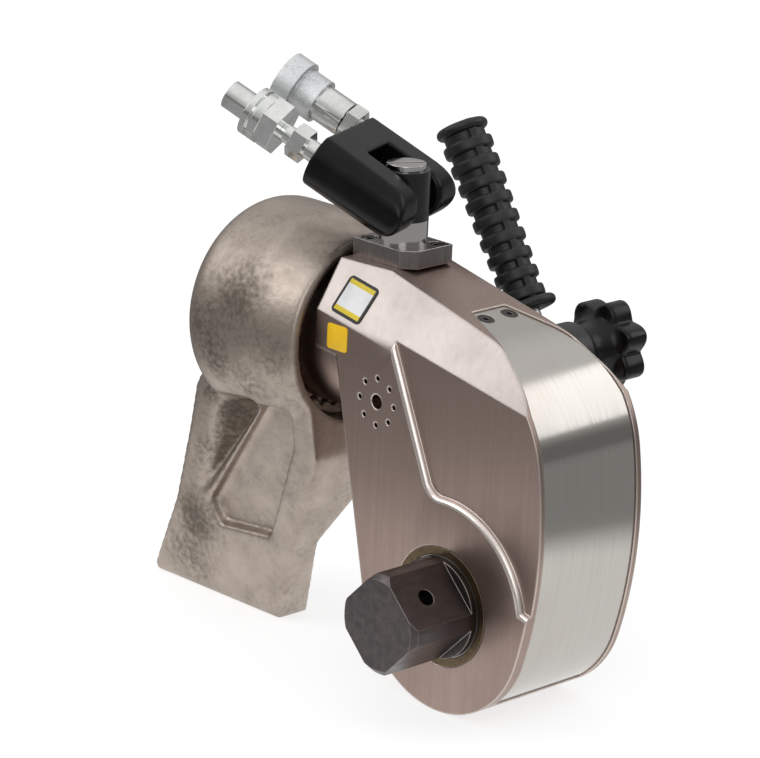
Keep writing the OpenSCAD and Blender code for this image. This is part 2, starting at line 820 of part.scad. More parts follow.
module square_drive() {
    tip = -half_w - square_l;
    color("black") seat() on_lever() difference() {
        union() {
            intersection() {
                disc_y(square_corner_r, tip, -half_w - 3);
                rotate([0, 45 + lever_back, 0]) translate([-square_af / 2, tip - 1, -square_af / 2])
                    cube([square_af, square_l + 2, square_af]);
                translate([0, tip, 0]) rotate([-90, 0, 0])
                    cylinder(r1 = square_corner_r - 2.5, r2 = square_corner_r - 2.5 + square_l, h = square_l);
            }
            disc_y(square_corner_r, -half_w - 3 - eps, -half_w + 0.3);
            wall(-half_w + 0.3 - eps, half_w - 0.3)
                polygon(spline_points(shank_teeth, shank_r - shank_spline_h, shank_r));
            disc_y(stub_r, half_w - 0.3 - eps, half_w + 2);
        }
        // Cross hole for a socket's retaining pin
        rotate([0, 45 + lever_back, 0]) translate([0, tip + square_l * 0.42, -40]) cylinder(r = cross_hole_r, h = 80);
        disc_y(button_r + 1, half_w - button_l - 8, half_w + 3);
    }
}

module drive_retainer() {
    color("dimgray") seat() difference() {
        disc_y(hub_r - 2, half_w - 0.3, half_w + cap_t);
        disc_y(stub_r + run_gap, half_w - 1, half_w + 2 + run_gap);
        disc_y(button_r + run_gap, half_w, half_w + cap_t + 1);
    }
}

module release_button() {
    color("firebrick") seat() disc_y(button_r, half_w + cap_t + button_out - button_l, half_w + cap_t + button_out);
}

module release_spring() {
    foot = half_w - button_l - 8;
    color("lightgray") seat() translate([0, foot + 0.1, 0]) rotate([-90, 0, 0])
        coil(4.5, 0.8, half_w + cap_t + button_out - button_l - foot - 0.2);
}

module holding_pawl() {
    heel = polar(ratchet_r + 3, pawl_angle);
    color("firebrick") seat() wall(-tongue_half_w + 1, tongue_half_w - 1) difference() {
        union() {
            translate(pawl_c) circle(pawl_eye_r);
            polygon([polar(root_r - 1, pawl_angle), heel, heel + [4.4, 18], pawl_c + [pawl_eye_r - 0.5, -2],
                pawl_c + [-pawl_eye_r + 0.4, 0], polar(ratchet_r + 1, pawl_angle + pitch * 1.6),
                polar(root_r - 1, pawl_angle + pitch - 1)]);
        }
        translate(pawl_c) circle(pawl_pin_r + run_gap);
        rotate(lever_back) meshing_ratchet(pawl_turn);
    }
}

module pawl_spring() {
    spring_z = pawl_z - pawl_spring_drop;
    color("lightgray") seat() translate([sheet_back_x(spring_z) - pawl_spring_l - 0.7, 0, spring_z])
        rotate([0, 90, 0]) coil(3, 0.6, pawl_spring_l);
}

module leg_side() {
    foot_rear = foot_front + foot_l;
    polygon([[-ring_front, cyl_z], [-ring_front, 43], [-foot_front, floor_z], [-foot_rear, floor_z],
        [-foot_rear, floor_z + 5], [-foot_rear + 22, -4], [-ring_rear - 17, 39], [-ring_rear - 9, 62],
        [-ring_rear + 8, 84], [-ring_rear + 14, cyl_z]]);
}

module leg_front() {
    polygon([[-14, floor_z], [-14 + foot_t, floor_z], [-5, -8], [28, 41], [38, cyl_z], [-39.5, cyl_z]]);
}

module reaction_arm() {
    color("tan") seat() difference() {
        union() {
            arm_ring();
            arm_leg();
        }
        leg_pocket();
        translate([latch_x, 0, cyl_z]) {
            disc_y(latch_tip_r + run_gap, 0, ring_r);
            disc_y(latch_collar_r + 1, spline_r + 3.5, ring_r + 1);
        }
    }
}

module arm_ring() {
    bore = spline_r - spline_h - 1;
    on_cylinder() difference() {
        turned_x() {
            polygon([[bore, -ring_front], [ring_front_r, -ring_front], [ring_r, -ring_front - 29],
                [ring_r, -ring_rear + ring_round_r], [bore, -ring_rear + ring_round_r]]);
            translate([bore, -ring_rear]) square([ring_r - ring_round_r - bore, ring_round_r + 1]);
            translate([ring_r - ring_round_r, -ring_rear + ring_round_r]) circle(ring_round_r);
        }
        translate([-ring_rear - 1, 0, 0]) rotate([0, 90, 0]) linear_extrude(ring_l + 2)
            polygon(spline_points(splines, spline_r - spline_h + seat_gap, spline_r + seat_gap));
        disc_x(mouth_r, -ring_front - mouth_depth, -ring_front + 1);
    }
}

module arm_leg() {
    difference() {
        intersection() {
            wall(-60, 60) leg_side();
            translate([-foot_front - foot_l - 1, 0, 0]) rotate([90, 0, 90])
                linear_extrude(foot_front + foot_l) leg_front();
        }
        on_cylinder() disc_x(mouth_r + 1, -2 * ring_rear, 0);
    }
}

// Three-sided pocket in the leaning near face of the leg
module leg_pocket() {
    lean = atan2(39.5 - 14, cyl_z - floor_z);
    translate([0, -14, floor_z]) rotate([lean, 0, 0]) wall(-20, pocket_depth) polygon([
        [-ring_front - 31, 117], [-ring_front - 15, 117], [-ring_front - 15, 98],
        [-foot_front - 1, 44], [-foot_front - 37, 40], [-foot_front - 43, 51]]);
}

module latch_bush() {
    color("dimgray") seat() translate([latch_x, 0, cyl_z]) difference() {
        disc_y(latch_collar_r + 0.9, ring_r - 3.5, ring_r);
        disc_y(latch_stem_r + run_gap, ring_r - 5, ring_r + 1);
    }
}

module latch_plunger() {
    base = spline_r + 0.4;
    color("firebrick") seat() translate([latch_x, 0, cyl_z]) {
        disc_y(latch_tip_r, base, base + 7.5 + eps);
        disc_y(latch_collar_r, base + 7.3, base + 9);
        disc_y(latch_stem_r, base + 9 - eps, ring_r + latch_travel + 1.5);
        disc_y(latch_collar_r, ring_r + latch_travel + 1.5 - eps, ring_r + latch_travel + 7);
    }
}

module latch_spring() {
    base = spline_r + 9.5;
    color("lightgray") seat() translate([latch_x, base, cyl_z]) rotate([-90, 0, 0]) coil(5.6, 0.5, ring_r - 3.6 - base);
}

module swivel_post() {
    color("silver") seat() on_swivel() difference() {
        union() {
            translate([0, 0, -pivot_h - flange_h + 1.6]) cylinder(r = post_r, h = pivot_h + flange_h + post_top - 1.6);
        }
        disc_y(pivot_pin_r + run_gap, -post_r - 1, post_r + 1);
        translate([0, 0, post_top - 3]) cylinder(r = plug_r - 2, h = 4);
        difference() {
            translate([0, 0, -pivot_h - flange_h + 3]) cylinder(r = post_r + 1, h = 2.4);
            translate([0, 0, -pivot_h - flange_h + 2]) cylinder(r = post_r - 2, h = 5);
        }
    }
}

module post_plug() {
    color("gainsboro") seat() on_swivel() difference() {
        union() {
            translate([0, 0, post_top - 3 + run_gap]) cylinder(r = plug_r - 2 - run_gap, h = 4);
            translate([0, 0, post_top]) cylinder(r = plug_r, h = 2.6);
        }
        rotate([0, 0, 40]) translate([-plug_r - 1, -0.8, post_top + 1.4]) cube([2 * plug_r + 2, 1.6, 3]);
    }
}

module post_seal() {
    color("black") seat() on_swivel() translate([0, 0, -pivot_h - flange_h + 4.2]) seal_ring(post_r - 0.95, 0.95);
}

// Point where a line from a corner meets the manifold's round end
function end_tangent(corner, side) = manifold_end_r
    * [cos(atan2(corner[1], corner[0]) + side * acos(manifold_end_r / norm(corner))),
        sin(atan2(corner[1], corner[0]) + side * acos(manifold_end_r / norm(corner)))];

module manifold_shape() {
    upper = [manifold_l, manifold_top];
    lower = [manifold_l, -manifold_bottom];
    half_pitch = manifold_pitch / 2;
    half = half_pitch + manifold_r;
    intersection() {
        wall(-half - 1, half + 1) {
            circle(manifold_end_r);
            polygon([lower, upper, end_tangent(upper, 1), end_tangent(lower, -1)]);
        }
        translate([-2 * manifold_end_r, 0, 0]) rotate([90, 0, 90]) linear_extrude(2 * manifold_end_r + manifold_l + 1) {
            for (side = [-1, 1], z = [side_low, side_high]) translate([side * half_pitch, z]) circle(manifold_r);
            translate([-half, side_low]) square([2 * half, side_high - side_low]);
            translate([-half_pitch, side_low - manifold_r]) square([manifold_pitch, side_high - side_low + 2 * manifold_r]);
        }
    }
}

module swivel_manifold() {
    slot_half = post_r + cheek_gap;
    color("black") seat() on_manifold() difference() {
        manifold_shape();
        translate([-40, -slot_half, -20]) cube([40 + slot_end, 2 * slot_half, 40]);
        disc_y(pivot_pin_r + run_gap, -manifold_pitch / 2 - manifold_r + 6, manifold_pitch / 2 + manifold_r - 6);
        for (port = [[near_port_y, near_port_z], [-far_port_y, far_port_z]])
            translate([0, port[0], port[1]]) disc_x(port_r, manifold_l - port_depth, manifold_l + 1);
    }
}

module pivot_pin() {
    color("dimgray") seat() on_manifold()
        disc_y(pivot_pin_r, -manifold_pitch / 2 - manifold_r + 6.1, manifold_pitch / 2 + manifold_r - 6.1);
}

// Hose adapter: thread end, hexagon and neck
module adapter(hex_r, hex_at, hex_l, length) {
    disc_x(port_r - run_gap, -port_depth + 1, hex_at + eps);
    translate([hex_at, 0, 0]) rotate([0, 90, 0]) rotate([0, 0, 15]) cylinder(r = hex_r, h = hex_l, $fn = 6);
    disc_x(adapter_neck_r, hex_at + hex_l - eps, length);
}

module on_near_port() {
    on_manifold() translate([manifold_l, near_port_y, near_port_z]) children();
}

module on_far_port() {
    on_manifold() translate([manifold_l, -far_port_y, far_port_z]) children();
}

module near_adapter() {
    color("gray") seat() on_near_port() adapter(8.6, near_hex_at, near_hex_l, near_adapter_l);
}

module far_adapter() {
    color("gray") seat() on_far_port() adapter(9.2, far_hex_at, far_hex_l, far_adapter_l);
}

module male_nipple() {
    color("gainsboro") seat() on_near_port() translate([near_adapter_l, 0, 0]) difference() {
        union() {
            rotate([0, 90, 0]) cylinder(r = nipple_r + 1, h = nipple_hex_l, $fn = 6);
            disc_x(nipple_r, nipple_hex_l - eps, nipple_groove_at);
            disc_x(nipple_r - 1.6, nipple_groove_at - eps, nipple_groove_at + 1.5);
            disc_x(nipple_r, nipple_groove_at + 1.5 - eps, nipple_shoulder);
            disc_x(nipple_nose_r, nipple_shoulder - eps, nipple_l);
        }
        disc_x(nipple_nose_r / 2, nipple_shoulder + 1, nipple_l + 1);
    }
}

module female_coupler() {
    lip_end = coupler_body_l + coupler_lip_l;
    color("gainsboro") seat() on_far_port() translate([far_adapter_l, 0, 0]) difference() {
        union() {
            disc_x(coupler_body_r, 0, coupler_body_l);
            disc_x(coupler_lip_r, coupler_body_l - eps, lip_end);
            disc_x(coupler_body_r, lip_end - eps, coupler_l);
        }
        disc_x(coupler_body_r - 2, coupler_body_l - 6, coupler_l + 1);
    }
}

// Turning collar: a slim neck, a groove and a full band
module coupler_collar() {
    band_at = collar_at + collar_neck_l + collar_groove;
    collar_end = collar_at + collar_l;
    color("lightgray") seat() on_far_port() translate([far_adapter_l, 0, 0]) difference() {
        union() {
            disc_x(collar_neck_r, collar_at, collar_at + collar_neck_l);
            disc_x(collar_neck_r - 0.7, collar_at + collar_neck_l - eps, band_at);
            disc_x(collar_r, band_at - eps, collar_end);
        }
        disc_x(coupler_body_r + run_gap, collar_at - 1, coupler_body_l);
        disc_x(coupler_lip_r + run_gap, coupler_body_l - run_gap, collar_end + 1);
    }
}

module handle_hub() {
    head = handle_reach - hub_head_l / 2;
    color("dimgray") seat() on_handle() difference() {
        union() {
            disc_y(hub_foot_r, run_gap, hub_foot_t);
            disc_y(hub_tube_r, hub_foot_t - eps, head + 1);
            disc_y(hub_head_r, head, head + hub_head_l);
        }
        disc_y(stud_r + run_gap, -1, head + hub_head_l + 1);
        for (i = [0, 1]) rotate([0, i * 180, 0]) translate([index_r, 0, 0]) disc_y(index_root_r, -1, index_root_l);
        translate([0, handle_reach, 0]) rotate([0, 90 - grip_angle, 0]) translate([0, 0, core_foot])
            cylinder(r = grip_core_r, h = hub_head_r);
    }
}

module on_grip() {
    on_handle() translate([0, handle_reach, 0]) rotate([0, 90 - grip_angle, 0]) children();
}

module grip_core() {
    color("gray") seat() on_grip() translate([0, 0, core_foot + run_gap])
        cylinder(r = grip_core_r - run_gap, h = grip_start + grip_l - core_end_wall - core_foot - 1);
}

// Tapered rubber grip with ribs and a flange at each end
module handle_grip() {
    rib_step = (grip_l - first_rib - flange_round) / ribs;
    color("black") seat() on_grip() difference() {
        translate([0, 0, grip_start]) rotate_extrude() {
            polygon([[0, 0], [rib_r - rib_depth, 0], [rib_end_r - rib_depth, grip_l], [0, grip_l]]);
            for (i = [0 : ribs - 1]) {
                z = first_rib + i * rib_step;
                translate([rib_r + (rib_end_r - rib_r) * z / grip_l - rib_round, z]) circle(rib_round, $fn = 32);
            }
            for (end = [[0, grip_flange_r], [grip_l - 2 * flange_round, grip_end_flange_r]]) {
                translate([0, end[0]]) square([end[1] - flange_round, 2 * flange_round]);
                translate([end[1] - flange_round, end[0] + flange_round]) circle(flange_round, $fn = 32);
            }
        }
        translate([0, 0, grip_start - 1]) cylinder(r = grip_core_r, h = grip_l - core_end_wall + 1);
    }
}

module index_pins() {
    color("gainsboro") seat() on_handle() for (i = [0, 1]) rotate([0, i * 180, 0]) translate([index_r, 0, 0]) {
        disc_y(index_hole_r - run_gap, -index_pin_l, 2 * run_gap);
        disc_y(index_root_r - run_gap, run_gap, index_root_l - 2 * run_gap);
    }
}

module clamp_knob() {
    start = handle_reach + hub_head_l / 2 + knob_gap;
    lobe_r = knob_r * 0.27;
    color("black") seat() on_handle() difference() {
        union() {
            disc_y(knob_neck_r, start, start + knob_neck_l + 1);
            translate([0, start + knob_neck_l - 5, 0]) rotate([-90, 0, 0])
                cylinder(r1 = knob_neck_r, r2 = knob_r * 0.72, h = 5);
            wall(start + knob_neck_l, start + knob_neck_l + knob_head_t) difference() {
                union() {
                    circle(knob_r * 0.82);
                    for (i = [0 : lobes - 1]) rotate((i + 0.5) * 360 / lobes) translate([knob_r - lobe_r, 0]) circle(lobe_r);
                }
                for (i = [0 : lobes - 1]) rotate(i * 360 / lobes) translate([knob_r * 1.02, 0]) circle(knob_r * 0.24);
            }
        }
        disc_y(stud_r, start - 1, start + knob_neck_l + 6);
    }
}

module knob_stud() {
    end = handle_reach + hub_head_l / 2 + knob_gap + knob_neck_l + 5.9;
    color("gainsboro") seat() on_handle() {
        disc_y(stud_tip_r, -hole_depth + 0.5, 1);
        disc_y(stud_r, 0.5, end);
    }
}

housing();
cylinder_cap();
cap_seal();
rod_gland();
rod_seal();
near_drive_bush();
far_drive_bush();
front_shroud();
shroud_screws();
swivel_flange();
flange_screws();
bevel_tag();
side_tag();
pawl_pin();
piston();
piston_seal();
piston_rod();
rod_pin();
drive_plates();
shoe_guide();
guide_pins();
drive_shoe();
shoe_springs();
ratchet_wheel();
square_drive();
drive_retainer();
release_button();
release_spring();
holding_pawl();
pawl_spring();
reaction_arm();
latch_bush();
latch_plunger();
latch_spring();
swivel_post();
post_plug();
post_seal();
swivel_manifold();
pivot_pin();
near_adapter();
far_adapter();
male_nipple();
female_coupler();
coupler_collar();
handle_hub();
grip_core();
handle_grip();
index_pins();
clamp_knob();
knob_stud();
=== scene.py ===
import functools
import logging
import math
from dataclasses import dataclass, field
from enum import Enum
from typing import Any

import bmesh
import bpy
import numpy as np
from mathutils import Matrix, Vector


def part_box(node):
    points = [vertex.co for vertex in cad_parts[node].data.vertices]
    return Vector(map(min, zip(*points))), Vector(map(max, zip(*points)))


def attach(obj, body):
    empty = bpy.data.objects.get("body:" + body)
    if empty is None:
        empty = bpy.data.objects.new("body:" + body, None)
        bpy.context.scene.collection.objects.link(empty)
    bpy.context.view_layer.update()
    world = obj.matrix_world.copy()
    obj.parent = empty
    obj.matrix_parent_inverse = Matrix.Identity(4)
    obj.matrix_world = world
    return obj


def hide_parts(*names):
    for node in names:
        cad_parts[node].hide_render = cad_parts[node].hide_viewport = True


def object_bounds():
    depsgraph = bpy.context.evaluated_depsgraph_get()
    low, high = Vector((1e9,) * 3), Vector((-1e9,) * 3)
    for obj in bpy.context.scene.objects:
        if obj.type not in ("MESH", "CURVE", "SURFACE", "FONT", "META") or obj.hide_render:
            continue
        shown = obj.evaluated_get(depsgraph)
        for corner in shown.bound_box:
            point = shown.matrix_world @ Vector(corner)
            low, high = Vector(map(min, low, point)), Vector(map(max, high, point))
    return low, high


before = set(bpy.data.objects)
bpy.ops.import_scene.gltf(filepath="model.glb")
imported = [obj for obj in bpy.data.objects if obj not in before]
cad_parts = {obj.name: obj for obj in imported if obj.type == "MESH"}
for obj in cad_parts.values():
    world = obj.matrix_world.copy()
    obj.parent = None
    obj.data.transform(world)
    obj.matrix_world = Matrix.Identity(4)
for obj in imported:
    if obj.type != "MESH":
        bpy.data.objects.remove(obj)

CAD_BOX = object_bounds()
MM = 0.001
MERGE_M = 2e-6      # loose corners of a node's triangles lie closer than this
CLEAN_M = 1e-6      # corners that rounding leaves on top of each other lie closer than this
TINY = 0.01         # least length in mm to divide by
MOST_PULL = 0.5     # largest share of the way to the mean of its neighbours that a point moves in a round
SPECK_RATIO = 11.0  # how much finer the specks of a stain are than its patches
ALONG_Y = np.array([0.0, 1.0, 0.0])
HALF_TURN = math.pi
FULL_TURN = 2 * math.pi
log = logging.getLogger("wrench")

Colour = tuple[float, float, float, float]
Array = np.ndarray


def shade(red: int, green: int, blue: int) -> Colour:
    """Turns a colour written in 0 to 255 screen values into linear light.

    Args:
        red: red screen value.
        green: green screen value.
        blue: blue screen value.

    Returns:
        The linear colour with full alpha.
    """
    screen = np.array([red, green, blue]) / 255
    linear = np.where(screen <= 0.04045, screen / 12.92, ((screen + 0.055) / 1.055) ** 2.4)
    return (float(linear[0]), float(linear[1]), float(linear[2]), 1.0)


class Graph:
    """Adds nodes to one node tree and joins them up."""

    def __init__(self, tree: bpy.types.NodeTree) -> None:
        """Keeps the tree that the nodes go into."""
        self.tree = tree

    def add(self, kind: str, inputs: dict[Any, Any] | None = None, **settings: Any) -> bpy.types.Node:
        """Adds a node, with its settings, constants and links.

        Args:
            kind: Blender's name of the node.
            inputs: value or socket for each input, by name or number.
            settings: properties of the node.

        Returns:
            The new node.
        """
        node = self.tree.nodes.new(kind)
        for key, value in settings.items():
            setattr(node, key, value)
        for key, value in (inputs or {}).items():
            if isinstance(value, bpy.types.NodeSocket):
                self.tree.links.new(value, node.inputs[key])
            else:
                node.inputs[key].default_value = value
        return node

    def mix(self, factor: Any, first: Any, second: Any) -> bpy.types.NodeSocket:
        """Blends two colours by a factor and returns the blend."""
        node = self.add("ShaderNodeMix", {0: factor, 6: first, 7: second}, data_type="RGBA")
        return node.outputs[2]

    def maths(self, operation: str, first: Any, second: Any = 0.0) -> bpy.types.NodeSocket:
        """Works out one sum on two values and returns the result."""
        return self.add("ShaderNodeMath", {0: first, 1: second}, operation=operation).outputs[0]

    def spread(self, value: Any, low: float, high: float, start: float = 0.0,
               end: float = 1.0) -> bpy.types.NodeSocket:
        """Maps a value from low to high onto start to end, clamped.

        Args:
            value: socket to map.
            low: value that gives start.
            high: value that gives end.
            start: result at low.
            end: result at high.

        Returns:
            The mapped socket.
        """
        node = self.add("ShaderNodeMapRange", {"Value": value, "From Min": low, "From Max": high,
                                               "To Min": start, "To Max": end})
        return node.outputs[0]

    def effect(self, tree: bpy.types.NodeTree, **inputs: Any) -> bpy.types.Node:
        """Places a shared group with its own values."""
        return self.add("ShaderNodeGroup", inputs, node_tree=tree)

    def join(self, node: bpy.types.Node, sockets: dict[str, bpy.types.NodeSocket]) -> None:
        """Links each socket to a node's input of that name."""
        for name, socket in sockets.items():
            self.tree.links.new(socket, node.inputs[name])


def new_group(name: str, inputs: dict[str, tuple[str, Any]],
              outputs: dict[str, str]) -> tuple[Graph, Any, Any]:
    """Makes an empty shader node group with named sockets.

    Args:
        name: name of the group.
        inputs: socket type and default of each input.
        outputs: socket type of each output.

    Returns:
        The graph of the group, its input node and its output node.
    """
    tree = bpy.data.node_groups.new(name, "ShaderNodeTree")
    for label, (kind, value) in inputs.items():
        tree.interface.new_socket(label, in_out="INPUT", socket_type=kind).default_value = value
    for label, kind in outputs.items():
        tree.interface.new_socket(label, in_out="OUTPUT", socket_type=kind)
    graph = Graph(tree)
    return graph, graph.add("NodeGroupInput"), graph.add("NodeGroupOutput")


@functools.cache
def grain_group() -> bpy.types.NodeTree:
    """Brushed grain: noise on object coordinates that are stretched along the brush's way.

    Returns:
        The group, with the tone and the height of the grain.
    """
    graph, given, result = new_group("brushed_grain", {"Stretch": ("NodeSocketVector", (1.0, 1.0, 1.0))},
                                     {"Tone": "NodeSocketFloat", "Height": "NodeSocketFloat"})
    place = graph.add("ShaderNodeTexCoord")
    run = graph.add("ShaderNodeVectorMath", {0: place.outputs["Object"], 1: given.outputs["Stretch"]},
                    operation="MULTIPLY")
    coarse = graph.add("ShaderNodeTexNoise", {"Vector": run.outputs[0], "Scale": 1.0, "Detail": 5.0,
                                              "Roughness": 0.65})
    graph.join(result, {"Tone": graph.spread(coarse.outputs[0], 0.3, 0.7), "Height": coarse.outputs[0]})
    return graph.tree


@functools.cache
def mottle_group() -> bpy.types.NodeTree:
    """Stains: soft patches of one noise, fine specks that gather in them and a rough height of both.

    Returns:
        The group, with the masks of patches and specks and the height.
    """
    graph, given, result = new_group("mottle", {"Scale": ("NodeSocketFloat", 30.0)},
                                     {"Patch": "NodeSocketFloat", "Speck": "NodeSocketFloat",
                                      "Height": "NodeSocketFloat"})
    place = graph.add("ShaderNodeTexCoord")
    fine_scale = graph.maths("MULTIPLY", given.outputs["Scale"], SPECK_RATIO)
    broad = graph.add("ShaderNodeTexNoise", {"Vector": place.outputs["Object"], "Detail": 3.0,
                                             "Scale": given.outputs["Scale"], "Roughness": 0.5})
    fine = graph.add("ShaderNodeTexNoise", {"Vector": place.outputs["Object"], "Scale": fine_scale,
                                            "Detail": 4.0, "Roughness": 0.6})
    patch = graph.spread(broad.outputs[0], 0.42, 0.68)
    gathered = graph.maths("MULTIPLY", graph.spread(fine.outputs[0], 0.5, 0.62),
                           graph.spread(patch, 0.1, 0.7, 0.15))
    graph.join(result, {"Patch": patch, "Speck": gathered,
                        "Height": graph.maths("ADD", broad.outputs[0], fine.outputs[0])})
    return graph.tree


@functools.cache
def edge_group() -> bpy.types.NodeTree:
    """Broken edges: the normal of edges rounded by a radius, and a mask that is white along them.

    Returns:
        The group, with the normal and the mask.
    """
    graph, given, result = new_group("broken_edge", {"Radius": ("NodeSocketFloat", 0.001)},
                                     {"Normal": "NodeSocketVector", "Edge": "NodeSocketFloat"})
    rounded = graph.add("ShaderNodeBevel", {"Radius": given.outputs["Radius"]}, samples=8)
    flat = graph.add("ShaderNodeNewGeometry")
    turn = graph.add("ShaderNodeVectorMath", {0: rounded.outputs[0], 1: flat.outputs["Normal"]},
                     operation="DOT_PRODUCT")
    mask = graph.spread(turn.outputs["Value"], 0.995, 0.9)
    graph.join(result, {"Normal": rounded.outputs[0], "Edge": mask})
    return graph.tree


@functools.cache
def facing_group() -> bpy.types.NodeTree:
    """Faces that look one way: the normal, mirrored to one side, dotted with that way and cut off near one.

    Returns:
        The group, with the mask.
    """
    graph, given, result = new_group("facing", {"Way": ("NodeSocketVector", (0.0, 1.0, 0.0))},
                                     {"Mask": "NodeSocketFloat"})
    flat = graph.add("ShaderNodeNewGeometry")
    parts = graph.add("ShaderNodeSeparateXYZ", {0: flat.outputs["True Normal"]})
    mirrored = graph.add("ShaderNodeCombineXYZ", {0: parts.outputs[0], 2: parts.outputs[2],
                                                  1: graph.maths("ABSOLUTE", parts.outputs[1])})
    turn = graph.add("ShaderNodeVectorMath", {0: mirrored.outputs[0], 1: given.outputs["Way"]},
                     operation="DOT_PRODUCT")
    graph.join(result, {"Mask": graph.spread(turn.outputs["Value"], 0.97, 0.99)})
    return graph.tree


def start_material(name: str) -> tuple[bpy.types.Material, Graph, bpy.types.Node]:
    """Makes a node material.

    Args:
        name: name of the material.

    Returns:
        The material, its graph and its Principled shader.
    """
    material = bpy.data.materials.new(name)
    material.use_nodes = True
    graph = Graph(material.node_tree)
    return material, graph, material.node_tree.nodes["Principled BSDF"]


@dataclass(frozen=True)
class MetalFinish:
    """Bare or plated metal with brush marks, stains and lighter edges."""

    name: str
    colour: Colour
    dark: Colour
    roughness: float = 0.35
    stretch: tuple[float, float, float] = (900.0, 900.0, 60.0)
    grain_depth: float = 0.08
    grain_rough: float = 0.1
    stain: Colour = (0.05, 0.045, 0.04, 1.0)
    stain_scale: float = 25.0
    stain_share: float = 0.15
    speck_share: float = 0.1
    pit_depth: float = 0.0
    edge_radius: float = 0.6
    edge: Colour = (0.62, 0.58, 0.55, 1.0)
    edge_share: float = 0.4
    # lighter colour painted on faces that look one way, as a painted highlight
    painted_highlight: Colour | None = None
    painted_highlight_way: tuple[float, float, float] = (0.0, 0.0, 1.0)
    # colour of painted shade, read with the piece's attribute of stain and painted shade
    stain_and_painted_shade: Colour | None = None
    painted_shade_share: float = 0.8
    patch_share: float = 0.7
    clean_share: float = 0.2
    stain_rough: float = 0.5

    @functools.cache
    def material(self) -> bpy.types.Material:
        """Builds the finish from the shared groups.

        A finish with a colour for painted shade reads the piece's own attribute of the same name, a share
        of
        stain and painted shade: up to 0.55 it gathers ragged stains, of which a small share stays
        elsewhere, and from 0.6 to 1 it turns to that colour, which paints shade into the reaction arm's
        scoop.

        Returns:
            The material, made once.
        """
        material, graph, shader = start_material(self.name)
        grain = graph.effect(grain_group(), Stretch=self.stretch)
        mottle = graph.effect(mottle_group(), Scale=self.stain_scale)
        edge = graph.effect(edge_group(), Radius=self.edge_radius * MM)
        base = graph.mix(grain.outputs["Tone"], self.dark, self.colour)
        # painted highlight: faces that look along the given way, the housing's bevels, turn to the lighter
        # colour
        if self.painted_highlight:
            facing = graph.effect(facing_group(), Way=self.painted_highlight_way)
            base = graph.mix(facing.outputs["Mask"], base, self.painted_highlight)
        stain = graph.maths("MULTIPLY", mottle.outputs["Patch"], self.stain_share)
        # painted shade: where the attribute is high, in the reaction arm's scoop, the colour darkens to
        # that shade, and ragged stains add to it
        if self.stain_and_painted_shade:
            share = graph.add("ShaderNodeAttribute", attribute_name="stain_and_painted_shade").outputs["Fac"]
            ragged = graph.maths("MULTIPLY", graph.spread(mottle.outputs["Height"], 0.75, 1.2),
                                 graph.spread(share, 0.08, 0.55, 0.0, self.patch_share))
            stain = graph.maths("MAXIMUM", graph.maths("MULTIPLY", stain, self.clean_share), ragged)
            base = graph.mix(graph.spread(share, 0.6, 1.0, 0.0, self.painted_shade_share), base, self.stain_and_painted_shade)
        base = graph.mix(stain, base, self.stain)
        speck = graph.maths("MULTIPLY", mottle.outputs["Speck"], self.speck_share)
        base = graph.mix(speck, base, self.stain)
        # lighter colour along edges: wear, and on the housing also a painted highlight along its edges and
        # panel steps
        wear_and_highlight = graph.maths("MULTIPLY", edge.outputs["Edge"], self.edge_share)
        base = graph.mix(wear_and_highlight, base, self.edge)
        rough = graph.spread(grain.outputs["Tone"], 0.0, 1.0, self.roughness + self.grain_rough,
                             self.roughness - self.grain_rough)
        rough = graph.maths("ADD", rough, graph.maths("MULTIPLY", stain, self.stain_rough))
        pits = graph.maths("MULTIPLY", mottle.outputs["Height"], self.pit_depth)
        scratches = graph.maths("MULTIPLY", grain.outputs["Height"], self.grain_depth)
        height = graph.maths("ADD", pits, scratches)
        bump = graph.add("ShaderNodeBump", {"Height": height, "Normal": edge.outputs["Normal"],
                                            "Distance": MM, "Strength": 1.0})
        graph.join(shader, {"Base Color": base, "Roughness": rough, "Normal": bump.outputs[0]})
        shader.inputs["Metallic"].default_value = 1.0
        return material


@dataclass(frozen=True)
class BlackFinish:
    """Black plastic, rubber or paint with dust, a fine skin and rubbed edges."""

    name: str
    colour: Colour
    dust: Colour
    roughness: float = 0.4
    dust_share: float = 0.3
    dust_scale: float = 60.0
    skin_depth: float = 0.05
    edge_radius: float = 0.5
    edge_share: float = 0.2
    specular: float = 0.5
    dust_rough: float = 0.12
    chrome_below: float | None = None
    chrome: Colour = shade(214, 212, 210)
    chrome_gloss: float = 0.5

    @functools.cache
    def material(self) -> bpy.types.Material:
        """Builds the finish from the shared groups, with bare chrome below a height where one is given.

        Returns:
            The material, made once.
        """
        material, graph, shader = start_material(self.name)
        mottle = graph.effect(mottle_group(), Scale=self.dust_scale)
        edge = graph.effect(edge_group(), Radius=self.edge_radius * MM)
        dusty = graph.maths("MULTIPLY", mottle.outputs["Patch"], self.dust_share)
        base = graph.mix(dusty, self.colour, self.dust)
        rubbed = graph.maths("MULTIPLY", edge.outputs["Edge"], self.edge_share)
        base = graph.mix(rubbed, base, self.dust)
        rough = graph.maths("MULTIPLY", mottle.outputs["Patch"], self.dust_rough)
        rough = graph.maths("ADD", rough, self.roughness)
        bump = graph.add("ShaderNodeBump", {"Height": mottle.outputs["Height"], "Strength": 1.0,
                                            "Normal": edge.outputs["Normal"],
                                            "Distance": self.skin_depth * MM})
        if self.chrome_below is not None:
            place = graph.add("ShaderNodeTexCoord")
            parts = graph.add("ShaderNodeSeparateXYZ", {0: place.outputs["Object"]})
            bare = graph.maths("LESS_THAN", parts.outputs[2], self.chrome_below * MM)
            base = graph.mix(bare, base, self.chrome)
            rough = graph.maths("MULTIPLY", rough, graph.spread(bare, 0.0, 1.0, 1.0, self.chrome_gloss))
            graph.join(shader, {"Metallic": bare})
        graph.join(shader, {"Base Color": base, "Roughness": rough, "Normal": bump.outputs[0]})
        shader.inputs["Specular IOR Level"].default_value = self.specular
        return material


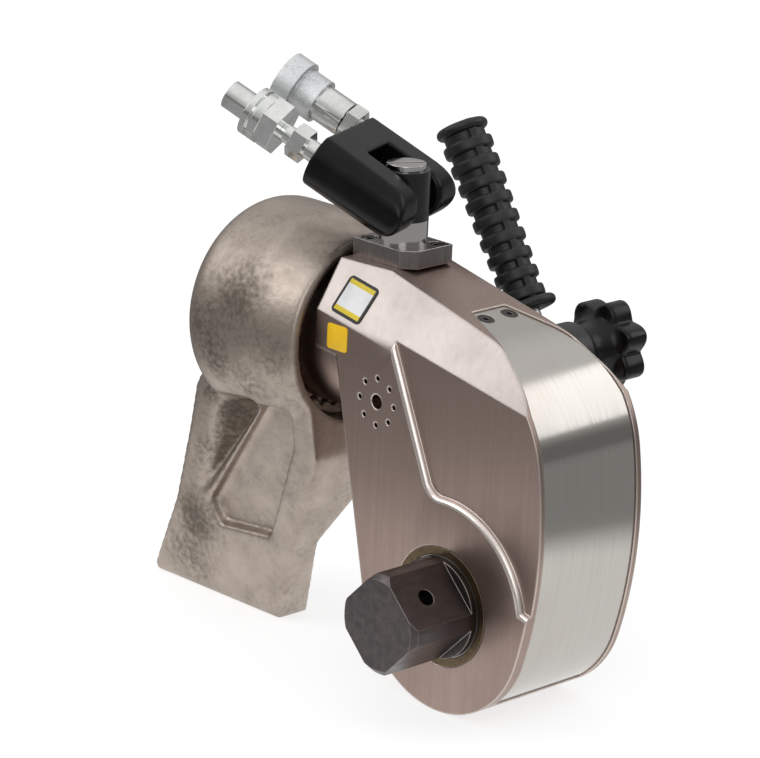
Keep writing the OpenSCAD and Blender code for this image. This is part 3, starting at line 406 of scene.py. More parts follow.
@dataclass(frozen=True)
class TagFinish:
    """Printed tag without words: a plain field, with a frame and two bands where they are asked for."""

    name: str
    field_colour: Colour
    frame_colour: Colour
    band_colour: Colour
    frame_share: float = 0.0
    band_share: float = 0.0
    soil: Colour = shade(120, 110, 95)
    soil_scale: float = 120.0
    soil_share: float = 0.12
    roughness: tuple[float, float] = (0.35, 0.5)

    @functools.cache
    def material(self) -> bpy.types.Material:
        """Paints the tag by its own UV map, which runs from 0 to 1 over the face.

        Returns:
            The material, made once.
        """
        material, graph, shader = start_material(self.name)
        place = graph.add("ShaderNodeUVMap", uv_map="face")
        parts = graph.add("ShaderNodeSeparateXYZ", {0: place.outputs[0]})
        across = graph.maths("ABSOLUTE", graph.maths("SUBTRACT", parts.outputs[0], 0.5))
        along = graph.maths("ABSOLUTE", graph.maths("SUBTRACT", parts.outputs[1], 0.5))
        outer = graph.maths("MAXIMUM", across, along)
        framed = graph.maths("GREATER_THAN", outer, 0.5 - self.frame_share)
        banded = graph.maths("GREATER_THAN", along, 0.5 - self.band_share)
        mottle = graph.effect(mottle_group(), Scale=self.soil_scale)
        soiled = graph.maths("MULTIPLY", mottle.outputs["Patch"], self.soil_share)
        base = graph.mix(banded, self.field_colour, self.band_colour)
        base = graph.mix(framed, base, self.frame_colour)
        base = graph.mix(soiled, base, self.soil)
        rough = graph.spread(mottle.outputs["Patch"], 0.0, 1.0, *self.roughness)
        graph.join(shader, {"Base Color": base, "Roughness": rough})
        return material


class Look(Enum):
    """Finishes of the wrench."""

    NICKEL = MetalFinish(
        "satin_nickel", shade(168, 148, 139), shade(160, 140, 131), roughness=0.33,
        stretch=(500.0, 500.0, 14.0), grain_depth=0.004, grain_rough=0.03, stain=shade(110, 92, 86),
        # the light edge colour at a large share paints a highlight along the housing's edges and panel
        # steps, besides wear
        stain_share=0.12, speck_share=0.04, edge_radius=1.5, edge=shade(226, 216, 209), edge_share=0.75,
        # the lighter colour on faces that look along the last way paints a highlight on the housing's
        # bevels
        painted_highlight=shade(170, 161, 157), painted_highlight_way=(0.097, 0.836, 0.54))
    # polished nickel for the rounded panel steps, lighter than the nickel to paint a highlight along them
    POLISHED_HIGHLIGHT = MetalFinish(
        "polished_nickel_highlight", shade(236, 226, 220), shade(226, 216, 210), roughness=0.3,
        stretch=(500.0, 500.0, 14.0), grain_depth=0.002, grain_rough=0.03, stain=shade(150, 134, 126),
        stain_share=0.08, speck_share=0.03, edge_radius=0.4)
    STAINLESS = MetalFinish(
        "brushed_stainless", shade(192, 188, 182), shade(187, 183, 177), roughness=0.14,
        stretch=(30.0, 900.0, 30.0), grain_depth=0.0003, grain_rough=0.03, stain=shade(160, 138, 128),
        stain_share=0.1, speck_share=0.02, edge_radius=0.5, edge=shade(235, 230, 222), edge_share=0.5)
    CAST = MetalFinish(
        "cast_nickel", shade(188, 175, 164), shade(172, 159, 149), roughness=0.4,
        stretch=(90.0, 90.0, 90.0), grain_depth=0.03, grain_rough=0.05, stain=shade(112, 104, 95),
        stain_scale=34.0, stain_share=0.5, speck_share=0.28, pit_depth=0.16, edge_radius=1.0,
        # the last colour is painted shade for the scoop in the arm's leg, where shade falls
        edge=shade(205, 194, 184), edge_share=0.3, stain_and_painted_shade=shade(104, 86, 74))
    BLACK_OXIDE = MetalFinish(
        "black_oxide", shade(92, 86, 86), shade(76, 71, 72), roughness=0.33, stretch=(300.0, 60.0, 300.0),
        grain_depth=0.006, grain_rough=0.06, stain=shade(118, 110, 106), stain_share=0.2, speck_share=0.12,
        edge_radius=0.8, edge=shade(165, 156, 150), edge_share=0.6)
    FLANGE_STEEL = MetalFinish(
        "flange_steel", shade(144, 138, 135), shade(124, 118, 116), roughness=0.33,
        stretch=(700.0, 700.0, 90.0), grain_depth=0.01, edge_radius=0.6, edge=shade(215, 208, 202),
        edge_share=0.6)
    CHROMED = MetalFinish(
        "polished_chrome", shade(214, 212, 210), shade(198, 196, 194), roughness=0.12,
        stretch=(200.0, 200.0, 200.0), grain_depth=0.002, grain_rough=0.04, stain_share=0.06,
        speck_share=0.03, edge_radius=0.4)
    ZINC = MetalFinish(
        "zinc_plate", shade(232, 233, 231), shade(216, 218, 215), roughness=0.11,
        stretch=(260.0, 260.0, 260.0), grain_depth=0.006, grain_rough=0.06, stain=shade(120, 118, 104),
        stain_scale=60.0, stain_share=0.22, speck_share=0.12, edge_radius=0.35, edge=shade(240, 240, 238),
        edge_share=0.5)
    KNURLED_ZINC = MetalFinish(
        "knurled_zinc", shade(240, 241, 242), shade(224, 226, 228), roughness=0.42,
        stretch=(1400.0, 1400.0, 1400.0), grain_depth=0.16, grain_rough=0.1, stain=shade(150, 150, 150),
        stain_scale=60.0, stain_share=0.2, speck_share=0.3, pit_depth=0.04, edge_radius=0.4)
    SCREW_STEEL = MetalFinish(
        "dark_screw_steel", shade(84, 80, 78), shade(66, 62, 60), roughness=0.35, edge_radius=0.3,
        grain_depth=0.006)
    STEEL = MetalFinish(
        "ground_steel", shade(176, 174, 172), shade(156, 154, 152), roughness=0.28,
        stretch=(700.0, 700.0, 700.0), grain_depth=0.006, edge_radius=0.3)
    SPRING_STEEL = MetalFinish(
        "spring_wire", shade(120, 118, 116), shade(96, 94, 92), roughness=0.3,
        stretch=(900.0, 900.0, 900.0), grain_depth=0.004, edge_radius=0.2)
    BRONZE = MetalFinish(
        "bush_bronze", shade(112, 96, 74), shade(92, 79, 62), roughness=0.34,
        stretch=(500.0, 500.0, 500.0), grain_depth=0.006, edge_radius=0.4, edge=shade(225, 196, 150))
    MANIFOLD = BlackFinish(
        "gloss_black", shade(8, 8, 10), shade(40, 40, 44), roughness=0.2, dust_share=0.12,
        skin_depth=0.004, edge_radius=0.6, edge_share=0.3, specular=0.22)
    POST = BlackFinish(
        "post_black", shade(18, 18, 20), shade(50, 50, 52), roughness=0.22, dust_share=0.2,
        skin_depth=0.006, edge_share=0.3, chrome_below=160.0)
    HUB_BLACK = BlackFinish(
        "hub_black", shade(24, 24, 26), shade(70, 68, 66), roughness=0.35, skin_depth=0.02,
        edge_share=0.35)
    GRIP = BlackFinish(
        "grip_rubber", shade(20, 20, 21), shade(60, 60, 62), roughness=0.42, dust_share=0.3,
        skin_depth=0.03, edge_radius=0.4, edge_share=0.15)
    KNOB = BlackFinish(
        "knob_plastic", shade(7, 7, 8), shade(30, 30, 32), roughness=0.2, dust_share=0.12,
        skin_depth=0.012, edge_radius=0.4, edge_share=0.25, specular=0.3)
    SEAL = BlackFinish(
        "seal_rubber", shade(22, 22, 22), shade(50, 50, 50), roughness=0.5)
    WHITE_TAG = TagFinish(
        "white_tag", shade(238, 238, 240), shade(18, 18, 18), shade(226, 200, 20), frame_share=0.08,
        band_share=0.2)
    YELLOW_TAG = TagFinish(
        "yellow_tag", shade(246, 196, 10), shade(246, 196, 10), shade(246, 196, 10))

    def dress(self, piece: bpy.types.Object) -> None:
        """Gives a piece this finish in place of what it has.

        Args:
            piece: piece or node to dress.
        """
        finish = self.value.material()
        if not piece.material_slots:
            piece.data.materials.append(finish)
        for place in piece.material_slots:
            place.material = finish


def linked(name: str, data: bpy.types.ID) -> bpy.types.Object:
    """Makes an object and links it to the scene.

    Args:
        name: name of the object.
        data: its mesh, light or camera.

    Returns:
        The object.
    """
    piece = bpy.data.objects.new(name, data)
    bpy.context.scene.collection.objects.link(piece)
    return piece


def make_piece(name: str, points: Array, faces: list[Array]) -> bpy.types.Object:
    """Puts arrays of points and faces into a smooth mesh object.

    Args:
        name: name of the piece.
        points: one row of three coordinates, in metres, for each point.
        faces: arrays of faces, each with the same number of corners in a row.

    Returns:
        The object, linked to the scene.
    """
    mesh = bpy.data.meshes.new(name)
    rows = [row for block in faces for row in block.tolist()]
    mesh.from_pydata(points.tolist(), [], rows)
    mesh.shade_smooth()
    mesh.update()
    return linked(name, mesh)


def closed_rings(name: str, rings: Array, ends: Array) -> bpy.types.Object:
    """Closed surface through rings of points: quads between the rings and a fan to a point at each end.

    Args:
        name: name of the piece.
        rings: points in metres by ring and by place in it, left-handed round the way that the rings run.
        ends: middle points of the first and of the last ring.

    Returns:
        The closed piece.
    """
    count, around = rings.shape[:2]
    place = np.arange(around)
    after = (place + 1) % around
    low = np.arange(count - 1)[:, None] * around
    high = low + around
    quads = np.stack([low + place, low + after, high + after, high + place], axis=-1).reshape(-1, 4)
    total = count * around
    last = total - around
    first_fan = np.stack([after, place, np.full(around, total)], axis=-1)
    last_fan = np.stack([last + place, last + after, np.full(around, total + 1)], axis=-1)
    points = np.concatenate([rings.reshape(-1, 3), ends])
    return make_piece(name, points, [quads, first_fan, last_fan])


def turned_solid(name: str, radius: Array, along: Array, angle: Array, axes: tuple[Array, Array, Array],
                 foot: Array) -> bpy.types.Object:
    """Closed surface round an axis, each point at its own radius, at an angle and a length along the axis.

    A point is foot + along * axis + radius * (cos(angle) * side + sin(angle) * third).

    Args:
        name: name of the piece.
        radius: radius in mm for each ring and angle.
        along: length in mm along the axis for each ring.
        angle: angle of each point in a ring.
        axes: the axis and two unit vectors square to it, right-handed as side, third, axis.
        foot: start of the axis in mm.

    Returns:
        The closed piece.
    """
    axis, side, third = axes
    out = np.cos(angle)[:, None] * side + np.sin(angle)[:, None] * third
    points = foot + along[:, None, None] * axis + radius[:, :, None] * out
    ends = np.stack([foot + along[0] * axis, foot + along[-1] * axis])
    return closed_rings(name, points * MM, ends * MM)


def merged_copy(node: str, name: str) -> bpy.types.Object:
    """Copies a node's mesh into a new piece and merges its loose triangles.

    Args:
        node: CAD node to copy.
        name: name of the new piece.

    Returns:
        The new piece.
    """
    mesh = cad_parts[node].data.copy()
    mesh.name = name
    work = bmesh.new()
    work.from_mesh(mesh)
    bmesh.ops.remove_doubles(work, verts=work.verts, dist=MERGE_M)
    work.to_mesh(mesh)
    work.free()
    if "custom_normal" in mesh.attributes:
        mesh.attributes.remove(mesh.attributes["custom_normal"])
    return linked(name, mesh)


def settle(piece: bpy.types.Object, body: str, node: str) -> None:
    """Lets a new piece ride on a body and stand for a node, whose CAD part it hides.

    Args:
        piece: finished piece.
        body: body that it moves with.
        node: CAD node that it replaces.
    """
    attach(piece, body)
    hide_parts(node)
    log.info("%s stands for %s", piece.name, node)


@dataclass
class Dressed:
    """CAD nodes that keep their shape and get a finish each."""

    looks: dict[Look, tuple[str, ...]]

    def dress(self) -> None:
        """Gives each node its finish."""
        for look, nodes in self.looks.items():
            for node in nodes:
                look.dress(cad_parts[node])
                log.info("%s: %s", node, look.value.name)


@dataclass
class Tag:
    """Thin blank tag with rounded corners, stuck on a face."""

    node: str
    slot: str
    look: Look
    corner: tuple[float, float, float]
    size: tuple[float, float]
    fall: float = 0.0
    lean: float = 0.0
    inset: tuple[float, float, float] = (0.0, 0.0, 0.0)
    round_r: float = 2.4
    thickness: float = 0.4
    rim_depth: tuple[float, ...] = (0.0, 0.6, 0.9, 1.0)
    rim_inset: tuple[float, ...] = (0.0, 0.0, 0.04, 0.15)
    sharp_from: float = 40.0
    round_count: int = 96

    def outline(self) -> tuple[Array, Array]:
        """Rounded rectangle: a corner circle at each angle, moved out to the corner that the angle is in.

        The move is a very steep ramp of the angle's cosine or sine, stopped at the straight half side.

        Returns:
            Points across and along, from 0 to the tag's size.
        """
        steep = 1e6
        angle = np.linspace(0, FULL_TURN, self.round_count, endpoint=False)
        half = np.array(self.size) / 2
        inner = half - self.round_r
        reach = np.stack([np.cos(angle), np.sin(angle)])
        flat = np.sign(reach) * np.minimum(np.abs(reach) * steep, inner[:, None])
        edge = half[:, None] + flat + self.round_r * reach
        return edge[0], edge[1]

    def build(self) -> bpy.types.Object:
        """Plate of four rings round the outline, closed in the middle at both faces.

        Returns:
            The dressed tag.
        """
        across, along = self.outline()
        middle = np.array(self.size) / 2
        depth = np.array(self.rim_depth) * self.thickness
        grow = 1 - np.array(self.rim_inset)[:, None] / middle.min()
        wide = middle[0] + (across - middle[0]) * grow
        high = middle[1] + (along - middle[1]) * grow
        rings = np.stack([wide, np.broadcast_to(-depth[:, None], wide.shape), high], axis=-1)
        ends = np.array([[middle[0], 0.0, middle[1]], [middle[0], -self.thickness, middle[1]]])
        local = np.concatenate([rings.reshape(-1, 3), ends])
        fall = Matrix.Rotation(math.radians(self.fall), 3, "Y")
        turn = fall @ Matrix.Rotation(math.radians(-self.lean), 3, "X")
        placed = np.array(self.corner) + (np.array(self.inset) + local) @ np.array(turn).T
        piece = closed_rings(self.node + "_plate", placed[:-2].reshape(rings.shape) * MM, placed[-2:] * MM)
        layer = piece.data.uv_layers.new(name="face")
        loops = np.empty(len(piece.data.loops), dtype=np.int32)
        piece.data.loops.foreach_get("vertex_index", loops)
        face = local[:, [0, 2]] / np.array(self.size)
        layer.uv.foreach_set("vector", face[loops].astype(np.float32).ravel())
        piece.data.set_sharp_from_angle(angle=math.radians(self.sharp_from))
        settle(piece, "frame", self.node)
        self.look.dress(piece)
        return piece


@dataclass
class PositioningHandle:
    """Ribbed grip and lobed knob of the handle on the far side."""

    foot: tuple[float, float, float] = (-45.8, 111.5, 84.6)
    grip_angle: float = 122.7
    grip_start: float = 24.0
    grip_l: float = 95.1
    rib_r: float = 10.4
    rib_end_r: float = 12.4
    rib_depth: float = 2.2
    ribs: int = 9
    first_rib: float = 8.2
    rib_half: float = 2.9
    flange_round: float = 2.5
    flange_r: float = 14.0
    end_flange_r: float = 12.7
    web_half: float = 0.2
    web_at: float = -0.35
    web_height: float = 0.8
    web_edge: float = 0.05
    flange_sink: float = 1.2
    grip_sharp: float = 50.0
    knob_r: float = 22.75
    knob_neck_r: float = 13.0
    knob_neck_l: float = 16.0
    knob_neck_step: float = 5.0
    knob_lip: float = 0.8
    knob_round: float = 2.4
    knob_valley: float = 0.78
    knob_dish: tuple[float, float] = (1.2, 1.6)
    knob_sharp: float = 45.0
    rim_steps: int = 7
    lobes: int = 7
    grip_rings: int = 480
    round_count: int = 112
    looks: dict[Look, tuple[str, ...]] = field(default_factory=lambda: {
        Look.HUB_BLACK: ("handle_hub",), Look.STEEL: ("grip_core", "index_pins", "knob_stud")})

    def grip(self) -> bpy.types.Object:
        """Ribbed grip: a tapered core with rounded ribs, two webs along it and a flange at each end.

        The radius is the core's, plus the rib height times the larger of the rib's and the web's share.
        A rib's share is (1 - (distance / half width) ** 4) ** 0.25, and a flange is a half circle.

        Returns:
            The dressed grip.
        """
        along = np.linspace(0, self.grip_l, self.grip_rings)
        angle = np.linspace(0, FULL_TURN, self.round_count, endpoint=False)
        rib_line = self.rib_r + (self.rib_end_r - self.rib_r) * along / self.grip_l
        step = (self.grip_l - self.first_rib - self.flange_round) / self.ribs
        centres = self.first_rib + np.arange(self.ribs) * step
        off = np.abs(along[:, None] - centres).min(axis=1) / self.rib_half
        rib = np.clip(1 - off ** 4, 0, 1) ** 0.25
        side = np.abs((angle - self.web_at + HALF_TURN / 2) % HALF_TURN - HALF_TURN / 2)
        web = self.web_height * np.clip((self.web_half - side) / self.web_edge + 0.5, 0, 1)
        share = np.maximum(rib[:, None], web[None, :])
        radius = (rib_line - self.rib_depth)[:, None] + self.rib_depth * share
        flange = np.maximum(self.end_round(along, self.flange_r),
                            self.end_round(self.grip_l - along, self.end_flange_r))
        in_flange = (along <= 2 * self.flange_round) | (along >= self.grip_l - 2 * self.flange_round)
        sunk = np.maximum(flange[:, None], radius - self.flange_sink)
        radius = np.where(in_flange[:, None], sunk, radius)
        lean = math.radians(90 - self.grip_angle)
        axis = np.array([math.sin(lean), 0.0, math.cos(lean)])
        side_way = np.array([math.cos(lean), 0.0, -math.sin(lean)])
        start = np.array(self.foot) + self.grip_start * axis
        piece = turned_solid("ribbed_grip", radius, along, angle, (axis, side_way, ALONG_Y), start)
        piece.data.set_sharp_from_angle(angle=math.radians(self.grip_sharp))
        settle(piece, "handle", "handle_grip")
        Look.GRIP.dress(piece)
        return piece

    def end_round(self, along: Array, flange_r: float) -> Array:
        """Half circle of a flange's rim along the axis.

        Args:
            along: length from the flange's own end.
            flange_r: radius of the flange.

        Returns:
            The flange's radius there, or zero past it.
        """
        off = (along - self.flange_round) / self.flange_round
        rim = flange_r - self.flange_round + self.flange_round * np.sqrt(np.clip(1 - off ** 2, 0, 1))
        return np.where(np.abs(off) <= 1, rim, 0.0)

    def knob(self) -> bpy.types.Object:
        """Lobed knob: a round neck that widens into a head whose radius swells with the number of lobes.

        The head's radius is R (v + (1 - v) (0.5 - 0.5 cos(lobes * angle)) ** 0.7), where v is the share
        left in the valleys, and both of its rims are quarter circles. Each ring's radius is a share of the
        head's plus a plain one. The rings run from the neck over both rims into a shallow dish.

        Returns:
            The dressed knob.
        """
        low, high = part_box("clamp_knob")
        length = (high.y - low.y) / MM
        neck = self.knob_neck_l
        neck_r = self.knob_neck_r
        lip = self.knob_lip
        turn = np.linspace(0, HALF_TURN / 2, self.rim_steps)
        swell = self.knob_round * (1 - np.sin(turn))
        rise = self.knob_round * (1 - np.cos(turn))
        dish = length - np.array(self.knob_dish)
        lobed = np.concatenate([[0, 0, 0, 0, 0, 0.6], np.ones(2 * self.rim_steps),
                                [1, 0.86, 0.55, 0.5, 0.3]])
        under = self.knob_r * np.array([0.72, 0.28])
        plain = np.concatenate([[neck_r - lip, neck_r, neck_r, neck_r], under, -swell, -swell[::-1],
                                [-self.knob_round - lip, 0, 0, 0, 0]])
        along = np.concatenate([[0, lip, self.knob_neck_step, neck - self.knob_neck_step, neck - 0.6, neck],
                                neck + rise, length - rise[::-1], [length, length, length], dish])
        angle = np.linspace(0, FULL_TURN, 2 * self.round_count, endpoint=False)
        wave = (0.5 - 0.5 * np.cos(self.lobes * angle)) ** 0.7
        outline = self.knob_r * (self.knob_valley + (1 - self.knob_valley) * wave)
        radius = lobed[:, None] * outline + plain[:, None]
        start = np.array([self.foot[0], low.y / MM, self.foot[2]])
        axes = (ALONG_Y, np.array([1.0, 0.0, 0.0]), np.array([0.0, 0.0, -1.0]))
        piece = turned_solid("lobed_knob", radius, along, -angle[::-1], axes, start)
        piece.data.set_sharp_from_angle(angle=math.radians(self.knob_sharp))
        settle(piece, "knob", "clamp_knob")
        Look.KNOB.dress(piece)
        return piece

    def build(self) -> None:
        """Makes the grip and knob and dresses the other nodes of the handle."""
        self.grip()
        self.knob()
        Dressed(self.looks).dress()


@dataclass
class SoftCasting:
    """Node whose copy is remeshed evenly and softened, as a casting's edges are."""

    node: str
    name: str
    body: str
    slot: str
    look: Look
    voxel: float
    rounds: int

    def pull(self, points: Array) -> Array:
        """Share of the way that each point moves in a round: the same half everywhere."""
        return np.full(len(points), MOST_PULL)

    def shape(self, points: Array) -> Array:
        """Moves points before they are softened: none here."""
        return points

    def stain_and_painted_shade(self, points: Array) -> Array:
        """Share of stain and painted shade at each point: none here."""
        return np.zeros(len(points))

    def soften(self, points: Array, edges: Array) -> Array:
        """Pulls each point towards the mean of its neighbours, round after round.

        Args:
            points: points of the mesh in mm.
            edges: pairs of point numbers.

        Returns:
            The softened points.
        """
        count = len(points)
        ends = np.concatenate([edges, edges[:, ::-1]])
        degree = np.bincount(ends[:, 0], minlength=count)
        pull = self.pull(points)
        for _ in range(self.rounds):
            sums = [np.bincount(ends[:, 0], points[ends[:, 1], k], minlength=count) for k in range(3)]
            mean = np.stack(sums, axis=-1) / degree[:, None]
            points = points + pull[:, None] * (mean - points)
        return points

    def build(self) -> bpy.types.Object:
        """Remeshes a merged copy of the node evenly, softens it and dresses it.

        Returns:
            The dressed casting.
        """
        piece = merged_copy(self.node, self.name)
        mesh = piece.data
        remesh = piece.modifiers.new("even", "REMESH")
        remesh.mode = "VOXEL"
        remesh.voxel_size = self.voxel * MM
        view = bpy.context.evaluated_depsgraph_get()
        even = bpy.data.meshes.new_from_object(piece.evaluated_get(view))
        piece.modifiers.clear()
        piece.data = even
        bpy.data.meshes.remove(mesh)
        points = np.empty(len(even.vertices) * 3)
        even.vertices.foreach_get("co", points)
        edges = np.empty(len(even.edges) * 2, dtype=np.int64)
        even.edges.foreach_get("vertices", edges)
        points = points.reshape(-1, 3) / MM
        soft = self.soften(self.shape(points), edges.reshape(-1, 2))
        even.vertices.foreach_set("co", (soft * MM).ravel())
        # attribute that holds the share of stain and painted shade at each point
        even.attributes.new("stain_and_painted_shade", "FLOAT", "POINT").data.foreach_set("value", self.stain_and_painted_shade(points))
        even.shade_smooth()
        even.update()
        settle(piece, self.body, self.node)
        self.look.dress(piece)
        log.info("%s: %d points", self.name, len(soft))
        return piece


@dataclass
class ReactionArm(SoftCasting):
    """Cast reaction arm, whose bore on the barrel keeps its size."""

    node: str = "reaction_arm"
    name: str = "cast_arm"
    body: str = "arm"
    slot: str = "cast"
    look: Look = Look.CAST
    voxel: float = 1.0
    rounds: int = 16
    axis_z: float = 100.0
    middle_y: float = 35.5
    bore_r: float = 44.5
    bore_band: float = 1.5
    bore_pull: float = 0.06
    hole_pull: float = 0.03
    blend: float = 2.0
    face_foot: tuple[float, float] = (21.5, -50.0)
    face_lean: float = 0.17
    scoop_depth: float = 11.0
    scoop_reach: float = 4.0
    scoop_fade: float = 5.0
    scoop_edge: float = 0.4
    ridge_w: float = 2.5
    latch: tuple[float, float, float] = (-127.5, 60.0, 100.0)
    latch_r: float = 5.05
    latch_band: float = 0.8
    latch_ease: float = 0.5
    latch_floor: float = 77.0
    latch_clear: float = 10.0
    far_off: float = 100.0
    scoop: tuple[tuple[float, float], ...] = ((-157.0, 61.0), (-175.5, 4.0), (-124.0, 66.0))
    patches: tuple[tuple[float, float, float, float], ...] = (
        (-126.0, -15.0, 116.0, 20.0), (-144.0, -17.0, 103.0, 20.0), (-138.0, -16.0, 89.0, 16.0),
        (-105.0, -17.0, 100.0, 17.0), (-120.0, -13.0, 78.0, 12.0), (-183.0, 15.0, -14.0, 19.0),
        (-190.0, 19.0, -34.0, 18.0), (-170.0, 9.0, 24.0, 13.0), (-160.0, 3.0, 60.0, 8.0))

    def off_line(self, points: Array, first: int, second: int) -> Array:
        """Distance in the side view of each point to the left of a line between two corners of the scoop.

        Args:
            points: points of the even mesh in mm.
            first: corner that the line starts from.
            second: corner that it runs to.

        Returns:
            One distance for each point, negative to the right of the line.
        """
        start = np.array(self.scoop[first])
        way = np.array(self.scoop[second]) - start
        off = points[:, [0, 2]] - start
        return (way[0] * off[:, 1] - way[1] * off[:, 0]) / np.hypot(way[0], way[1])

    def under_face(self, points: Array) -> Array:
        """Depth of each point under the plane of the leg's near face."""
        return points[:, 1] - self.face_foot[0] + self.face_lean * (points[:, 2] - self.face_foot[1])

    def scooped(self, points: Array) -> Array:
        """Share of the scoop's full depth at each point, none outside it.

        Inside its three sides the share is a / (a + b), where a and b are the distances to the outer side
        and to the side next to the pocket, and it fades out towards the top side.

        Args:
            points: points of the even mesh in mm.

        Returns:
            One share for each point.
        """
        outer = self.off_line(points, 0, 1)
        inner = self.off_line(points, 1, 2)
        top = self.off_line(points, 2, 0)
        inside = (outer > 0) & (inner > 0) & (top > 0) & (self.under_face(points) < self.scoop_reach)
        share = outer / np.maximum(outer + inner, TINY) * np.clip(top / self.scoop_fade, 0, 1)
        return np.where(inside, share, 0)

    def shape(self, points: Array) -> Array:
        """Sinks a three-cornered scoop into the leg's near face, by its pocket, and eases the latch hole.

        The hole's wall moves straight away from its axis and its floor down, by a little more than
        softening will draw them in.

        Args:
            points: points of the even mesh in mm.

        Returns:
            The moved points.
        """
        share = self.scooped(points)
        sunk = np.where(share > 0, np.maximum(self.scoop_depth * share - self.under_face(points), 0), 0)
        off_latch = self.off_latch(points)
        eased = np.where(np.abs(off_latch - self.latch_r) < self.latch_band, self.latch_ease, 0)
        off_floor = np.where(off_latch < self.latch_clear, points[:, 1] - self.latch_floor, self.far_off)
        lowered = np.where(np.abs(off_floor) < self.latch_band, self.latch_ease, 0)
        outward = (points - np.array(self.latch)) * np.array([1.0, 0.0, 1.0])
        outward /= np.maximum(np.linalg.norm(outward, axis=1), TINY)[:, None]
        return points + (sunk - lowered)[:, None] * ALONG_Y + eased[:, None] * outward

    def off_latch(self, points: Array) -> Array:
        """Distance of each point on the ring's far side to the latch's axis, and a long way elsewhere."""
        off = np.hypot(points[:, 0] - self.latch[0], points[:, 2] - self.latch[2])
        return np.where(points[:, 1] > self.latch[1], off, self.far_off)

    def stain_and_painted_shade(self, points: Array) -> Array:
        """Share of stain and painted shade at each point: painted shade, full in the scoop, and soft round
        stain patches elsewhere.

        A patch gives 0.6 exp(-(d / r)^2), where d is the distance to its middle and r is its size, and the
        largest counts.

        Args:
            points: points of the even mesh in mm.

        Returns:
            One share for each point.
        """
        patches = np.array(self.patches)
        off = np.linalg.norm(points[:, None] - patches[None, :, :3], axis=-1)
        soft = 0.6 * np.exp(-((off / patches[:, 3]) ** 2)).max(axis=1)
        off_ridge = np.clip(self.off_line(points, 1, 2) - self.ridge_w, 0, 1)
        return np.maximum(soft, np.clip(self.scooped(points) / self.scoop_edge, 0, 1) * off_ridge)

    def pull(self, points: Array) -> Array:
        """Share of the way in a round: a half, but almost nothing in the bore and in the latch hole.

        Args:
            points: points of the even mesh in mm.

        Returns:
            One share for each point.
        """
        from_axis = np.hypot(points[:, 1] - self.middle_y, points[:, 2] - self.axis_z)
        off_bore = np.clip((from_axis - self.bore_r + self.bore_band) / self.blend, self.bore_pull, 1)
        off_hole = np.clip((self.off_latch(points) - self.latch_clear) / self.blend, self.hole_pull, 1)
        return MOST_PULL * np.minimum(off_bore, off_hole)


@dataclass
class SwivelManifold(SoftCasting):
    """Black manifold with slightly broken edges and domed cheeks past the pivot."""

    node: str = "swivel_manifold"
    name: str = "domed_manifold"
    body: str = "manifold"
    slot: str = "manifold_black"
    look: Look = Look.MANIFOLD
    voxel: float = 0.6
    rounds: int = 60
    pivot: tuple[float, float, float] = (-69.0, 35.5, 169.2)
    way: tuple[float, float, float] = (-0.839, -0.322, 0.438)
    least_pull: float = 0.06
    dome_start: float = 2.0
    dome_run: float = 8.0

    def pull(self, points: Array) -> Array:
        """Share of the way in a round, which rises to a half past the pivot, where the cheeks end.

        Args:
            points: points of the even mesh in mm.

        Returns:
            One share for each point.
        """
        along = (points - np.array(self.pivot)) @ np.array(self.way)
        past = np.clip((self.dome_start - along) / self.dome_run, 0, 1)
        return self.least_pull + (MOST_PULL - self.least_pull) * past


@dataclass
class Housing:
    """Housing with the rounded step between its side faces and its sunk panels."""

    round_r: float = 2.5
    steps: int = 6
    panel_depth: float = 3.0
    side_y: tuple[float, float] = (0.0, 71.0)
    handle: tuple[float, float] = (-45.8, 84.6)
    handle_clear: float = 16.0
    bush_clear: float = 30.0
    same_y: float = 0.01
    wall_slope: float = 0.2
    face_slope: float = 0.99
    depth_room: float = 0.1
    flat_angle: float = 0.5
    sharp_from: float = 28.0

    def is_step(self, edge: bmesh.types.BMEdge) -> bool:
        """Whether an edge lies between a side face and the wall of a sunk panel.

        Args:
            edge: edge of the merged housing.

        Returns:
            True where one face is the side face and the other is a wall no deeper than the panel.
        """
        if len(edge.link_faces) != 2:
            return False
        ends = [corner.co / MM for corner in edge.verts]
        side = min(self.side_y, key=lambda y: abs(ends[0].y - y))
        if any(abs(end.y - side) > self.same_y for end in ends):
            return False
        facing = sorted(edge.link_faces, key=lambda face: abs(face.normal.y))
        wall = facing[0]
        if abs(wall.normal.y) > self.wall_slope or abs(facing[1].normal.y) < self.face_slope:
            return False
        depth = max(abs(corner.co.y / MM - side) for corner in wall.verts)
        middle = (ends[0] + ends[1]) / 2
        off_handle = math.hypot(middle.x - self.handle[0], middle.z - self.handle[1])
        off_drive = math.hypot(middle.x, middle.z)
        shallow = depth < self.panel_depth + self.depth_room
        return shallow and off_handle > self.handle_clear and off_drive > self.bush_clear

    def build(self) -> bpy.types.Object:
        """Merges a copy of the housing, joins its flat triangles and rounds the panels' steps.

        Returns:
            The dressed housing.
        """
        piece = merged_copy("housing", "rounded_housing")
        work = bmesh.new()
        work.from_mesh(piece.data)
        bmesh.ops.dissolve_limit(work, angle_limit=math.radians(self.flat_angle), verts=work.verts,
                                 edges=work.edges)
        steps = [edge for edge in work.edges if self.is_step(edge)]
        log.info("rounded steps: %d edges", len(steps))
        bmesh.ops.bevel(work, geom=steps, offset=self.round_r * MM, offset_type="OFFSET", profile=0.5,
                        segments=self.steps, affect="EDGES", clamp_overlap=False, material=1)
        bmesh.ops.triangulate(work, faces=work.faces)
        bmesh.ops.remove_doubles(work, verts=work.verts, dist=CLEAN_M)
        work.to_mesh(piece.data)
        work.free()
        piece.data.shade_smooth()
        piece.data.set_sharp_from_angle(angle=math.radians(self.sharp_from))
        settle(piece, "frame", "housing")
        Look.NICKEL.dress(piece)
        # the rounded panel steps take this lighter finish, a painted highlight along them
        piece.data.materials.append(Look.POLISHED_HIGHLIGHT.value.material())
        return piece


